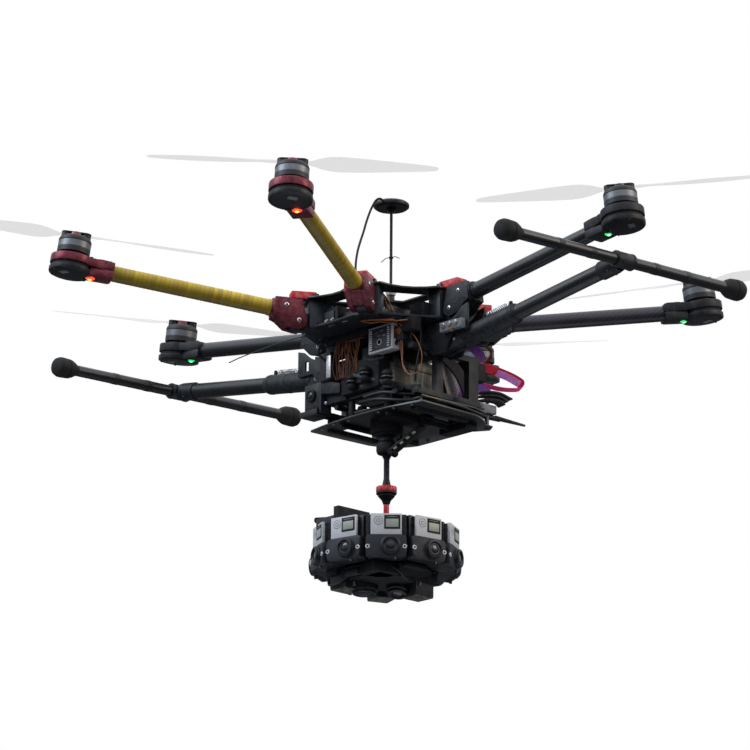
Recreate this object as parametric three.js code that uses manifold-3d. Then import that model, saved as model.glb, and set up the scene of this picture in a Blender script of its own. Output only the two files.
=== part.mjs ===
// A folding six-rotor camera drone with raised landing gear and a ring of action cameras hung
// below it. Millimetres, +Z up, nose towards -Y, origin on the floor under the centre frame,
// level with the lowest face of the camera rig.

import * as THREE from 'three';
import { mergeVertices } from 'three/addons/utils/BufferGeometryUtils.js';
import Module from 'manifold-3d';

const wasm = await Module();
wasm.setup();

// ---------------------------------------------------------------- driving dimensions

const GAP = 0.3; // clearance left between two pieces that touch
const deg = THREE.MathUtils.degToRad;

// Overall layout
const ROTOR_CIRCLE_R = 450; // centre of the frame to each motor's foot
const MOTOR_PLANE_Z = 430; // height of the motor feet
const ARM_COUNT = 6;
const ARM_NAMES = ['mid_left', 'rear_left', 'rear_right', 'mid_right', 'front_right', 'front_left'];
const FRONT_ARMS = ['front_right', 'front_left'];

// Arm fold hinge and arm tube
const HINGE_R = 132;
const HINGE_Z = 384;
const DIHEDRAL = deg(8.2); // the arms rise outwards
const HINGE_PIN_R = 3;
const ARM_TUBE_R = 11;
const ARM_TUBE_WALL = 1.5;
const TUBE_OFFSET = 14; // tube axis above the hinge, and above the motor's foot
const KNUCKLE_HALF = 15.5; // half width of the forked hinge knuckle
const LUG_HALF = 7; // half width of the frame's hinge lug, inside the fork
const LUG_R = 12.5;
const ROOT_HALF = 19; // half width of the blocks that the arms fold from
const TUBE_START = 14;

// Motor stack, heights above the motor's foot
const COVER_R = 29.5;
const WAIST_R = 27;
const COVER_TOP = 8;
const RING_BOTTOM = 12.5;
const RING_TOP = 24;
const BELL_R = 22.75;
const BELL_BOTTOM = 28.5;
const BELL_SHOULDER = 45;
const BELL_TOP = 52;
const HUB_TOP = 60.5;
const STATOR_R = 19.7;
const SHAFT_R = 2.5;

// Folding propellers
const PROP_R = 190.5;
const BLADE_PIVOT_R = 14;
const BLADE_AZIMUTH = deg(47); // direction in which every propeller is parked
const BLADE_ROOT_HALF = 2.05;

// Centre frame plates
const TOP_PLATE_Z = 414;
const TOP_PLATE_T = 2.5;
const BOTTOM_PLATE_Z = 372;
const BOTTOM_PLATE_T = 3;
const ROOT_INNER_R = 96;
const ROOT_OUTER_R = 118;

// Arm latch
const CLIP_PIVOT_R = 108;
const CLIP_BARREL_R = 4.2;
const CLIP_HALF = 9;

// Landing gear
const GEAR_PIVOT_X = 110;
const GEAR_PIVOT_Z = 335;
const SKID_X = 448;
const SKID_Z = 384;
const LEG_HALF = 13;
const CHEEK_INNER = 14.5;
const CHEEK_OUTER = 17.5;
const SIDE_RAIL_X = [86, 96];
const LOWER_RAIL_Z = [268, 276];
const SKID_TUBE_R = 7.8;
const SKID_HALF = 230;
const SKID_PITCH = deg(1.5); // the skids' front ends hang a little lower

// Battery, tray and payload plate
const BATTERY_X = 36;
const BATTERY_Y = [-34, 128];
const BATTERY_Z = [287, 327];
const TRAY_Z = 281;
const TRAY_T = 5.7;
const PAYLOAD_PLATE_Z = 250;
const PAYLOAD_PLATE_T = 3;

// Camera rig on its drop rod
const ROD_Y = -6;
const ROD_R = 4;
const ROD_COLLAR_Z = 158.6;
const KNOB_TOP_Z = 158.3;
const KNOB_R = 14.35;
const KNOB_BOTTOM_Z = 138.5;
const RIG_STEM_TOP_Z = 138;
const CAMERA_COUNT = 10;
const CAMERA_AZIMUTH = deg(-43);
const CAMERA_FACE_R = 98;
const RING_INNER_R = 62;
const RING_LOW_Z = 36;
const RING_HIGH_Z = 100;

// Satellite receiver
const MAST_R = 2;
const PUCK_R = 25;
const PUCK_Z = 563.6;
const PUCK_HALF = 4.8;
const CABLE_R = 1.6;

// ---------------------------------------------------------------- materials

const standard = (color, roughness, metalness) => new THREE.MeshStandardMaterial({ color, roughness, metalness });

const MATERIALS = {
  carbon: standard(0x22252b, 0.42, 0.1),
  moulded_black: standard(0x1b1d22, 0.55, 0),
  yellow_wrap: standard(0xc49a05, 0.5, 0),
  maroon_anodised: standard(0x74202e, 0.4, 0.6),
  red_plastic: standard(0xc01a2a, 0.4, 0),
  motor_black: standard(0x24262b, 0.35, 0.7),
  blade_smoke: standard(0x7c7f85, 0.4, 0),
  battery_wrap: standard(0x8c8f8a, 0.45, 0.2),
  camera_silver: standard(0xb9bdc4, 0.35, 0.6),
  puck_black: standard(0x2b2d31, 0.4, 0),
  cable_black: standard(0x15161a, 0.6, 0),
};

// ---------------------------------------------------------------- geometry helpers

function signedVolume(position, index) {
  const a = new THREE.Vector3();
  const b = new THREE.Vector3();
  const c = new THREE.Vector3();
  let volume = 0;
  for (let i = 0; i < index.length; i += 3) {
    a.fromBufferAttribute(position, index[i]);
    b.fromBufferAttribute(position, index[i + 1]);
    c.fromBufferAttribute(position, index[i + 2]);
    volume += a.dot(b.cross(c)) / 6;
  }
  return volume;
}

// A closed three.js geometry as a solid: shared vertices merged, slivers dropped, faces out.
function toSolid(geometry) {
  const bare = geometry.clone();
  for (const name of Object.keys(bare.attributes)) {
    if (name !== 'position') bare.deleteAttribute(name);
  }
  const merged = mergeVertices(bare, 1e-4);
  const source = Array.from(merged.index.array);
  const index = [];
  for (let i = 0; i < source.length; i += 3) {
    const [a, b, c] = source.slice(i, i + 3);
    if (a !== b && b !== c && c !== a) index.push(a, b, c);
  }
  if (signedVolume(merged.attributes.position, index) < 0) index.reverse();
  const vertProperties = new Float32Array(merged.attributes.position.array);
  const mesh = new wasm.Mesh({ numProp: 3, vertProperties, triVerts: new Uint32Array(index) });
  return new wasm.Manifold(mesh);
}

function toGeometry(solid) {
  const { vertProperties, triVerts } = solid.getMesh();
  const geometry = new THREE.BufferGeometry();
  geometry.setAttribute('position', new THREE.BufferAttribute(new Float32Array(vertProperties), 3));
  geometry.setIndex(Array.from(triVerts));
  return geometry;
}

function join(...parts) {
  const [first, ...rest] = parts.flat().map(toSolid);
  return toGeometry(rest.reduce((whole, next) => whole.add(next), first));
}

function cut(base, ...tools) {
  return toGeometry(tools.flat().map(toSolid).reduce((left, tool) => left.subtract(tool), toSolid(base)));
}

function box([x0, x1], [y0, y1], [z0, z1]) {
  const geometry = new THREE.BoxGeometry(x1 - x0, y1 - y0, z1 - z0);
  return geometry.translate((x0 + x1) / 2, (y0 + y1) / 2, (z0 + z1) / 2);
}

// A cylinder between two values along one axis, through the given point across that axis.
function cylinder(axis, radius, [from, to], [u, v] = [0, 0], sides = 20) {
  const geometry = new THREE.CylinderGeometry(radius, radius, to - from, sides);
  const middle = (from + to) / 2;
  if (axis === 'x') return geometry.rotateZ(Math.PI / 2).translate(middle, u, v);
  if (axis === 'y') return geometry.translate(u, middle, v);
  return geometry.rotateX(Math.PI / 2).translate(u, v, middle);
}

// A profile of [radius, height] points turned round the Z axis.
function turned(profile, sides = 24) {
  const points = profile.map(([radius, height]) => new THREE.Vector2(radius, height));
  return new THREE.LatheGeometry(points, sides).rotateX(Math.PI / 2);
}

function outline(points) {
  return new THREE.Shape(points.map(([x, y]) => new THREE.Vector2(x, y)));
}

// An outline in X and Y, raised from one height to another.
function plate(shape, [z0, z1], curveSegments = 8) {
  const geometry = new THREE.ExtrudeGeometry(shape, { depth: z1 - z0, bevelEnabled: false, curveSegments });
  return geometry.translate(0, 0, z0);
}

// A side outline in X and Z, spread evenly to both sides of Y = middle.
function sideProfile(points, half, middle = 0) {
  const geometry = new THREE.ExtrudeGeometry(outline(points), { depth: 2 * half, bevelEnabled: false });
  return geometry.translate(0, 0, -half).rotateX(Math.PI / 2).translate(0, middle, 0);
}

// Stacked rings of equal point count, closed at both ends.
function loft(rings) {
  const count = rings[0].length;
  const vertices = rings.flat(2);
  const index = [];
  for (let ring = 0; ring + 1 < rings.length; ring += 1) {
    for (let i = 0; i < count; i += 1) {
      const a = ring * count + i;
      const b = ring * count + ((i + 1) % count);
      index.push(a, b, a + count, b, b + count, a + count);
    }
  }
  const last = (rings.length - 1) * count;
  for (let i = 1; i + 1 < count; i += 1) {
    index.push(0, i + 1, i, last, last + i, last + i + 1);
  }
  const geometry = new THREE.BufferGeometry();
  geometry.setAttribute('position', new THREE.BufferAttribute(new Float32Array(vertices), 3));
  geometry.setIndex(index);
  return geometry;
}

function roundedRectangle(halfWidth, halfHeight, radius) {
  const shape = new THREE.Shape();
  const [w, h, r] = [halfWidth, halfHeight, radius];
  shape.absarc(w - r, h - r, r, 0, Math.PI / 2);
  shape.absarc(-w + r, h - r, r, Math.PI / 2, Math.PI);
  shape.absarc(-w + r, -h + r, r, Math.PI, 1.5 * Math.PI);
  shape.absarc(w - r, -h + r, r, 1.5 * Math.PI, 2 * Math.PI);
  shape.closePath();
  return shape;
}

function piece(name, geometry, material) {
  const mesh = new THREE.Mesh(geometry, MATERIALS[material]);
  mesh.name = name;
  return mesh;
}

const polar = (radius, angle) => [radius * Math.cos(angle), radius * Math.sin(angle)];

// A point given as distance along an azimuth and distance to its left.
function alongAzimuth(azimuth, along, left) {
  const [c, s] = [Math.cos(azimuth), Math.sin(azimuth)];
  return [along * c - left * s, along * s + left * c];
}

const armAngle = (number) => (number * 2 * Math.PI) / ARM_COUNT;
const armAngles = ARM_NAMES.map((_, number) => armAngle(number));

// ---------------------------------------------------------------- centre frame

// A six-lobed plate: a lobe under each arm, and a rim between lobes that bows in or out.
function lobedShape(lobeR, lobeHalf, rimControlR) {
  const shape = new THREE.Shape();
  armAngles.forEach((angle, number) => {
    const start = alongAzimuth(angle, lobeR, -lobeHalf);
    const end = alongAzimuth(angle, lobeR, lobeHalf);
    if (number === 0) shape.moveTo(...start);
    shape.lineTo(...end);
    const next = alongAzimuth(armAngle(number + 1), lobeR, -lobeHalf);
    shape.quadraticCurveTo(...polar(rimControlR, angle + Math.PI / ARM_COUNT), ...next);
  });
  return shape;
}

function topPlateCutOut(azimuth) {
  const corners = [[76, -33], [76, 33], [34, 9], [34, -9]];
  return plate(outline(corners.map(([u, v]) => alongAzimuth(azimuth, u, v))), [TOP_PLATE_Z - 2, TOP_PLATE_Z + 6]);
}

const clipPivotZ = TOP_PLATE_Z + TOP_PLATE_T + GAP + 0.5 + CLIP_BARREL_R;

function clipEars(angle) {
  const earOuter = CLIP_HALF + 3;
  const earTop = clipPivotZ + 3;
  const span = [CLIP_PIVOT_R - 4, CLIP_PIVOT_R + 4];
  const height = [TOP_PLATE_Z + 1, earTop];
  return [
    box(span, [-earOuter, -CLIP_HALF - GAP], height),
    box(span, [CLIP_HALF + GAP, earOuter], height),
    cylinder('y', 1.5, [-earOuter + 1, earOuter - 1], [CLIP_PIVOT_R, clipPivotZ], 8),
  ].map((part) => part.rotateZ(angle));
}

function topPlate() {
  const blank = plate(lobedShape(122, 23, 89), [TOP_PLATE_Z, TOP_PLATE_Z + TOP_PLATE_T], 5);
  const openings = armAngles.map((angle) => topPlateCutOut(angle + Math.PI / ARM_COUNT));
  return join(cut(blank, openings), armAngles.flatMap(clipEars));
}

function rimSlots(azimuth) {
  const spans = [[-22, -6], [-2, 2], [6, 20]];
  return spans.map(([from, to]) => box([97, 101], [from, to], [BOTTOM_PLATE_Z - 2, BOTTOM_PLATE_Z + 6])
    .rotateZ(azimuth));
}

// The block that an arm folds from, with one hinge lug and the pin that goes through the fork.
function armRoot(angle) {
  const block = box([ROOT_INNER_R, ROOT_OUTER_R], [-ROOT_HALF, ROOT_HALF],
    [BOTTOM_PLATE_Z + 1, TOP_PLATE_Z - GAP]);
  const web = box([ROOT_OUTER_R - 2, HINGE_R], [-LUG_HALF, LUG_HALF], [HINGE_Z - LUG_R, HINGE_Z + LUG_R]);
  const eye = cylinder('y', LUG_R, [-LUG_HALF, LUG_HALF], [HINGE_R, HINGE_Z], 20);
  const pin = cylinder('y', HINGE_PIN_R, [-KNUCKLE_HALF + 1, KNUCKLE_HALF - 1], [HINGE_R, HINGE_Z], 12);
  return [block, web, eye, pin].map((part) => part.rotateZ(angle));
}

function frameCore() {
  const height = [BOTTOM_PLATE_Z, BOTTOM_PLATE_Z + BOTTOM_PLATE_T];
  const blank = plate(lobedShape(ROOT_OUTER_R, ROOT_HALF, 106), height, 5);
  const slots = armAngles.flatMap((angle) => rimSlots(angle + Math.PI / ARM_COUNT));
  return join(cut(blank, slots), armAngles.flatMap(armRoot));
}

function flightController() {
  const floor = BOTTOM_PLATE_Z + BOTTOM_PLATE_T + GAP;
  const shape = roundedRectangle(50, 56, 10);
  const lid = roundedRectangle(34, 40, 6);
  return join(plate(shape, [floor, floor + 18], 3), plate(lid, [floor + 17, floor + 30.5], 3));
}

// ---------------------------------------------------------------- arms

// A fork over the frame's lug, and a collar that grips the arm tube.
function knuckle() {
  const cheek = [[-1, 30.5], [22, 29.5], [38, 27.5], [38, 0.5], [30, -2], [17, -11], [6, -11.9], [-10, 6]];
  const width = [-KNUCKLE_HALF, KNUCKLE_HALF];
  const collar = cylinder('x', 14.2, [18, 40], [0, TUBE_OFFSET], 16);
  const body = join(sideProfile(cheek, KNUCKLE_HALF), cylinder('y', 12, width, [0, 0], 16), collar);
  const fork = box([-20, LUG_R + 0.8], [-LUG_HALF - 0.6, LUG_HALF + 0.6], [-20, LUG_R + 2.6]);
  const tubeBore = cylinder('x', ARM_TUBE_R + 0.6, [TUBE_START - GAP, 45], [0, TUBE_OFFSET], 16);
  const pinBore = cylinder('y', HINGE_PIN_R + 0.5, [-KNUCKLE_HALF - 1, KNUCKLE_HALF + 1], [0, 0], 12);
  return cut(body, fork, tubeBore, pinBore);
}

const armRun = ROTOR_CIRCLE_R - HINGE_R;
const armRise = MOTOR_PLANE_Z - HINGE_Z;
const MOTOR_X = armRun * Math.cos(DIHEDRAL) + armRise * Math.sin(DIHEDRAL);
const MOTOR_FOOT = armRise * Math.cos(DIHEDRAL) - armRun * Math.sin(DIHEDRAL);
const TUBE_END = MOTOR_X - 34;

function armTube() {
  const at = [0, TUBE_OFFSET];
  const skin = cylinder('x', ARM_TUBE_R, [TUBE_START, TUBE_END], at, 20);
  return cut(skin, cylinder('x', ARM_TUBE_R - ARM_TUBE_WALL, [TUBE_START - 1, TUBE_END + 1], at, 12));
}

// Speed controller cover, mounting ring and tube clamp, with the motor's fixed stator on top.
function motorMount() {
  const tubeAxis = TUBE_OFFSET - MOTOR_FOOT;
  const stack = turned([
    [0, 0], [COVER_R, 0], [COVER_R, COVER_TOP], [WAIST_R, COVER_TOP], [WAIST_R, RING_BOTTOM],
    [COVER_R, RING_BOTTOM], [COVER_R, RING_TOP], [0, RING_TOP],
  ], 20);
  const stator = cylinder('z', STATOR_R, [RING_TOP - 1, BELL_SHOULDER - 0.5], [0, 0], 16);
  const bearing = cylinder('z', SHAFT_R + 0.7, [RING_TOP + 1, BELL_SHOULDER], [0, 0], 8);
  const clampOutline = [[-58, 2], [-58, 25.5], [-36, 26.5], [-24, RING_TOP], [-24, 1], [-40, 1]];
  const clamp = sideProfile(clampOutline, 15);
  const tongue = plate(outline([[-44, -15], [-44, 15], [-22, 22], [0, 24], [0, -24], [-22, -22]]),
    [RING_BOTTOM, RING_TOP]);
  const bore = cylinder('x', ARM_TUBE_R + 0.6, [-70, -33.5], [0, tubeAxis], 16);
  return cut(join(stack, stator, clamp, tongue), bore, bearing);
}

// Bell, shaft and the two-plate hub that holds both propeller blades on pins.
function rotor() {
  const bore = STATOR_R + 0.8;
  const bell = turned([
    [0, BELL_SHOULDER + 0.5], [bore, BELL_SHOULDER + 0.5], [bore, BELL_BOTTOM], [BELL_R, BELL_BOTTOM],
    [BELL_R, BELL_SHOULDER], [19.5, 50], [5.5, BELL_TOP], [5.5, HUB_TOP], [0, HUB_TOP],
  ], 18);
  const shaft = cylinder('z', SHAFT_R, [RING_TOP + 2, BELL_TOP - 2], [0, 0], 8);
  const hubPlate = (z) => {
    const shape = new THREE.Shape();
    shape.absarc(BLADE_PIVOT_R, 0, 6.5, -Math.PI / 2, Math.PI / 2);
    shape.absarc(-BLADE_PIVOT_R, 0, 6.5, Math.PI / 2, 1.5 * Math.PI);
    shape.closePath();
    return plate(shape, z, 3);
  };
  const pins = [-1, 1].map((side) => cylinder('z', 2, [BELL_TOP, HUB_TOP - 1], [side * BLADE_PIVOT_R, 0], 8));
  return join(bell, shaft, hubPlate([BELL_TOP, BELL_TOP + 2]), hubPlate([HUB_TOP - 2, HUB_TOP]), pins);
}

// Blade sections: distance from the rotor's axis, chord, thickness and twist.
const BLADE_SECTIONS = [
  [18, 8, 3.6, 0], [26, 12, 3.8, 8], [40, 21, 3.8, 20], [62, 29, 3.2, 18], [95, 28, 2.6, 13.5],
  [140, 22, 2, 9], [175, 15, 1.5, 7.5], [PROP_R, 6, 1, 7],
];
const bladeMidZ = (BELL_TOP + HUB_TOP) / 2;

function bladeSection([x, chord, thickness, twistDegrees], handed) {
  const outlinePoints = [
    [-0.5, 0], [-0.2, 0.42], [0.15, 0.52], [0.5, 0.06], [0.15, -0.3], [-0.2, -0.3],
  ];
  const twist = deg(twistDegrees);
  const ring = outlinePoints.map(([across, up]) => {
    const y = across * chord;
    const z = up * thickness;
    const turnedY = y * Math.cos(twist) - z * Math.sin(twist);
    return [x, handed * turnedY, bladeMidZ + y * Math.sin(twist) + z * Math.cos(twist)];
  });
  return handed > 0 ? ring : ring.reverse();
}

function blade(handed) {
  const blank = loft(BLADE_SECTIONS.map((section) => bladeSection(section, handed)));
  const rootSpan = [bladeMidZ - BLADE_ROOT_HALF, bladeMidZ + BLADE_ROOT_HALF];
  const eye = cylinder('z', 6.3, rootSpan, [BLADE_PIVOT_R, 0], 12);
  const hole = cylinder('z', 2.6, [bladeMidZ - 4, bladeMidZ + 4], [BLADE_PIVOT_R, 0], 8);
  return cut(join(blank, eye), hole);
}

function clip() {
  const [r, z] = [CLIP_PIVOT_R, clipPivotZ];
  const low = z - CLIP_BARREL_R;
  const lever = [[r, low], [141, low], [142, low + 4.5], [133, z + 5.6], [r + 4, z + 6.2], [r, z + 4]];
  const body = join(sideProfile(lever, CLIP_HALF), cylinder('y', CLIP_BARREL_R, [-CLIP_HALF, CLIP_HALF], [r, z], 12));
  const thumbGroove = box([114, 130], [-5, 5], [z + 3.5, z + 9]);
  return cut(body, cylinder('y', 2, [-CLIP_HALF - 1, CLIP_HALF + 1], [r, z], 8), thumbGroove);
}

function arm(number) {
  const name = ARM_NAMES[number];
  const front = FRONT_ARMS.includes(name);
  const angle = armAngle(number);
  const handed = number % 2 === 0 ? 1 : -1;

  const propeller = new THREE.Group();
  propeller.rotation.z = BLADE_AZIMUTH - angle;
  propeller.add(piece(`${name}_rotor`, rotor(), 'motor_black'));
  propeller.add(piece(`${name}_blade_a`, blade(handed), 'blade_smoke'));
  const opposite = piece(`${name}_blade_b`, blade(handed), 'blade_smoke');
  opposite.rotation.z = Math.PI;
  propeller.add(opposite);

  const motor = new THREE.Group();
  motor.position.set(MOTOR_X, 0, MOTOR_FOOT);
  motor.add(piece(`${name}_motor_mount`, motorMount(), front ? 'maroon_anodised' : 'moulded_black'));
  motor.add(propeller);

  const raised = new THREE.Group();
  raised.position.set(HINGE_R, 0, HINGE_Z);
  raised.rotation.y = -DIHEDRAL;
  raised.add(piece(`${name}_knuckle`, knuckle(), front ? 'maroon_anodised' : 'moulded_black'));
  raised.add(piece(`${name}_tube`, armTube(), front ? 'yellow_wrap' : 'carbon'));
  raised.add(motor);

  const whole = new THREE.Group();
  whole.rotation.z = angle;
  whole.add(raised);
  whole.add(piece(`${name}_clip`, clip(), 'red_plastic'));
  return whole;
}

// ---------------------------------------------------------------- landing gear

const legRun = SKID_X - GEAR_PIVOT_X;
const legRise = SKID_Z - GEAR_PIVOT_Z;
const LEG_LENGTH = Math.hypot(legRun, legRise);
const LEG_TILT = Math.atan2(legRise, legRun);

function gearBeam() {
  const cheek = [
    [92, 366], [138, 366], [148, 371], [160, 380.5], [171, 383.5], [171, 346], [141, 346], [133, 334],
    [126, 322], [104, 322], [92, 330],
  ];
  const mirrored = (make) => [make(1), make(-1)];
  const sideX = (side, [from, to]) => (side > 0 ? [from, to] : [-to, -from]);
  const half = (CHEEK_OUTER - CHEEK_INNER) / 2;
  const end = (side) => [
    ...[-1, 1].map((face) => sideProfile(cheek.map(([x, z]) => [side * x, z]), half, face * (CHEEK_INNER + half))),
    cylinder('y', 4, [-CHEEK_OUTER + 1, CHEEK_OUTER - 1], [side * GEAR_PIVOT_X, GEAR_PIVOT_Z], 16),
    box(sideX(side, SIDE_RAIL_X), [-48, 78], [330, 338]),
    box(sideX(side, SIDE_RAIL_X), [-40, 80], LOWER_RAIL_Z),
    box(sideX(side, SIDE_RAIL_X), [-3, 9], [LOWER_RAIL_Z[0] + 1, 331]),
    box(sideX(side, SIDE_RAIL_X), [58, 76], [LOWER_RAIL_Z[0] + 1, 331]),
    box(sideX(side, [58, 72]), [-14, 14], [340, BOTTOM_PLATE_Z - GAP]),
  ];
  const slot = (side) => box(sideX(side, [149, 156]), [-20, 20], [352, 366]);
  const beam = box([-96, 96], [-CHEEK_OUTER, CHEEK_OUTER], [330, 343]);
  return cut(join(beam, mirrored(end).flat()), mirrored(slot));
}

function leg() {
  const eye = cylinder('y', 11.5, [-LEG_HALF, LEG_HALF], [0, 0], 16);
  const root = box([0, 46], [-LEG_HALF, LEG_HALF], [-10.5, 10.5]);
  const sleeve = cylinder('x', 14, [43, 142], [0, 0], 20);
  const tube = cylinder('x', 11, [140, LEG_LENGTH - 4], [0, 0], 20);
  const tee = cylinder('y', 13, [-22, 22], [LEG_LENGTH, 0], 20).translate(-LEG_LENGTH, 0, 0)
    .rotateX(SKID_PITCH).translate(LEG_LENGTH, 0, 0);
  const teeBore = cylinder('y', SKID_TUBE_R + 0.5, [-30, 30], [0, 0], 20)
    .rotateX(SKID_PITCH).translate(LEG_LENGTH, 0, 0);
  const pinBore = cylinder('y', 4.6, [-LEG_HALF - 1, LEG_HALF + 1], [0, 0], 16);
  return cut(join(eye, root, sleeve, tube, tee), teeBore, pinBore);
}

function skid() {
  const profile = [
    [0, -SKID_HALF], [9, -SKID_HALF + 2], [14.5, -SKID_HALF + 12], [14, -SKID_HALF + 26], [SKID_TUBE_R, -SKID_HALF + 38],
  ];
  const other = profile.map(([radius, along]) => [radius, -along]).reverse();
  return turned([...profile, ...other], 16).rotateX(Math.PI / 2).rotateX(SKID_PITCH)
    .translate(LEG_LENGTH, 0, 0);
}

function landingLeg(name, side) {
  const raised = new THREE.Group();
  raised.rotation.y = -LEG_TILT;
  raised.position.set(GEAR_PIVOT_X, 0, GEAR_PIVOT_Z);
  const pitchMirror = side > 0 ? 1 : -1;
  const bars = [leg(), skid()];
  if (pitchMirror < 0) bars.forEach((bar) => bar.scale(1, -1, 1));
  raised.add(piece(`leg_${name}`, fresh(bars[0]), 'moulded_black'));
  raised.add(piece(`skid_${name}`, fresh(bars[1]), 'carbon'));
  const whole = new THREE.Group();
  whole.rotation.z = side > 0 ? 0 : Math.PI;
  whole.add(raised);
  return whole;
}

// Passing a geometry through a solid puts a mirrored one's faces outwards again.
function fresh(geometry) {
  return toGeometry(toSolid(geometry));
}

// ---------------------------------------------------------------- battery and payload plate

function battery() {
  const halfHeight = (BATTERY_Z[1] - BATTERY_Z[0]) / 2;
  const shape = roundedRectangle(BATTERY_X, halfHeight, 6);
  const depth = BATTERY_Y[1] - BATTERY_Y[0];
  const block = new THREE.ExtrudeGeometry(shape, { depth, bevelEnabled: false, curveSegments: 4 });
  return fresh(block.rotateX(Math.PI / 2).translate(0, BATTERY_Y[1], BATTERY_Z[0] + halfHeight));
}

function batteryTray() {
  const floor = box([-44, 44], [-46, 136], [TRAY_Z, TRAY_Z + TRAY_T]);
  const rails = [-1, 1].map((side) => box(side > 0 ? [38, 44] : [-44, -38], [-46, 136], [TRAY_Z + 1, TRAY_Z + 14]));
  const posts = [[-36, -38], [36, -38], [-36, 96], [36, 96]].map(([x, y]) => cylinder('z', 5,
    [PAYLOAD_PLATE_Z + PAYLOAD_PLATE_T + GAP, TRAY_Z + 1], [x, y], 14));
  const windows = [[-20, 20], [50, 90]].map((span) => box([-24, 24], span, [TRAY_Z - 2, TRAY_Z + 8]));
  return cut(join(floor, rails, posts), windows);
}

function payloadPlate() {
  const shape = new THREE.Shape();
  shape.moveTo(-112, -46);
  shape.quadraticCurveTo(0, -70, 112, -46);
  shape.lineTo(108, 60);
  shape.quadraticCurveTo(96, 104, 60, 112);
  shape.lineTo(-60, 112);
  shape.quadraticCurveTo(-96, 104, -108, 60);
  shape.closePath();
  const height = [PAYLOAD_PLATE_Z, PAYLOAD_PLATE_Z + PAYLOAD_PLATE_T];
  const windows = [-1, 1].map((side) => box(side > 0 ? [54, 80] : [-80, -54], [-20, 62],
    [PAYLOAD_PLATE_Z - 2, PAYLOAD_PLATE_Z + 6]));
  const struts = [[-91, -24], [91, -24], [-91, 60], [91, 60]].map(([x, y]) => box([x - 4, x + 4], [y - 6, y + 6],
    [PAYLOAD_PLATE_Z + 1, LOWER_RAIL_Z[0] - GAP]));
  return join(cut(plate(shape, height, 8), windows), struts);
}

// ---------------------------------------------------------------- drop rod and camera rig

// The boss under the payload plate and the rod it carries, down to the quick-release spigot.
function payloadRod() {
  const top = PAYLOAD_PLATE_Z - GAP;
  return fresh(turned([
    [0, 130], [3, 130], [3, ROD_COLLAR_Z], [6.5, ROD_COLLAR_Z], [ROD_R, 170], [ROD_R, 197], [7, 203], [13, 205],
    [14.5, 209], [14.5, 219], [11, 222], [11, 227], [18, 230], [18, top], [0, top],
  ], 20));
}

function quickReleaseKnob() {
  const body = turned([
    [3.6, KNOB_BOTTOM_Z], [6, KNOB_BOTTOM_Z], [11.5, 144.5], [11.5, 148], [KNOB_R, 149.5], [KNOB_R, KNOB_TOP_Z - 1.2],
    [KNOB_R - 1.2, KNOB_TOP_Z], [3.6, KNOB_TOP_Z], [3.6, KNOB_BOTTOM_Z],
  ], 24);
  const flutes = Array.from({ length: 10 }, (_, i) => {
    const at = polar(KNOB_R + 1, (i * Math.PI) / 5);
    return cylinder('z', 2, [148.5, KNOB_TOP_Z + 1], at, 5);
  });
  return cut(body, flutes);
}

function rigFrame() {
  const drum = turned([
    [0, 0], [52, 0], [57, 4], [66, 30], [RING_INNER_R - GAP - 0.6, 34], [RING_INNER_R - GAP - 0.6, 108], [50, 114],
    [12, 116], [8, 122], [8, 124.4], [4.6, 126], [4.6, RIG_STEM_TOP_Z], [3.6, RIG_STEM_TOP_Z], [3.6, 129.5],
    [0, 129.5],
  ], 24);
  return fresh(drum);
}

// One camera of the ring, built facing +X: silver body, black housing and lens.
function ringCamera() {
  const lens = cylinder('x', 12, [CAMERA_FACE_R - 8, 106], [5, 51], 12);
  return [
    box([80, CAMERA_FACE_R], [-21.2, 21.2], [67, 97]),
    box([80, CAMERA_FACE_R + 1], [-27.8, 27.8], [RING_LOW_Z + 0.5, 67.5]),
    lens,
  ];
}

function cameraRing() {
  const apothem = 86;
  const ring = new THREE.CylinderGeometry(apothem / Math.cos(Math.PI / CAMERA_COUNT),
    apothem / Math.cos(Math.PI / CAMERA_COUNT), RING_HIGH_Z - RING_LOW_Z, CAMERA_COUNT);
  ring.rotateX(Math.PI / 2).rotateZ(Math.PI / CAMERA_COUNT - Math.PI / 2 + CAMERA_AZIMUTH)
    .translate(0, 0, (RING_HIGH_Z + RING_LOW_Z) / 2);
  const cameras = Array.from({ length: CAMERA_COUNT }, (_, i) => {
    const azimuth = CAMERA_AZIMUTH + (i * 2 * Math.PI) / CAMERA_COUNT;
    return ringCamera().map((part) => part.rotateZ(azimuth));
  });
  const well = cylinder('z', RING_INNER_R + 0.6, [RING_LOW_Z - 2, RING_HIGH_Z + 2], [0, 0], 24);
  return cut(join(ring, cameras.flat()), well);
}

// ---------------------------------------------------------------- satellite receiver

function gpsMast() {
  const floor = TOP_PLATE_Z + TOP_PLATE_T + GAP;
  const top = PUCK_Z - PUCK_HALF - GAP;
  return fresh(turned([
    [0, floor], [14, floor], [14, floor + 2.5], [6, floor + 5], [5, floor + 16], [MAST_R, floor + 18],
    [MAST_R, top - 4], [7, top - 2], [7, top], [0, top],
  ], 16));
}

function gpsPuck() {
  const [low, high] = [PUCK_Z - PUCK_HALF, PUCK_Z + PUCK_HALF];
  return fresh(turned([
    [0, low], [PUCK_R - 3, low], [PUCK_R, low + 2.5], [PUCK_R, high - 3], [PUCK_R - 3, high - 0.6], [0, high],
  ], 32));
}

// The receiver's cable: out of the puck towards the nose, over, and down into the controller.
const CABLE_ROUTE = [
  [8.7, -23.9, 563.6], [9.4, -26.4, 564.4], [9.4, -29.4, 565.2], [7.4, -31.6, 565], [4.5, -33.2, 563.2],
  [1.5, -35, 558.2], [-2.3, -38, 547.8], [-5.9, -41.4, 533], [-8.9, -44, 518.4], [-12.2, -47, 504],
  [-15, -49.4, 490], [-17.2, -50.6, 472], [-17.4, -50, 456], [-16, -48.2, 441], [-14.4, -46.4, 428],
  [-13.6, -45.4, 417], [-13.4, -45, 408.5],
];

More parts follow.
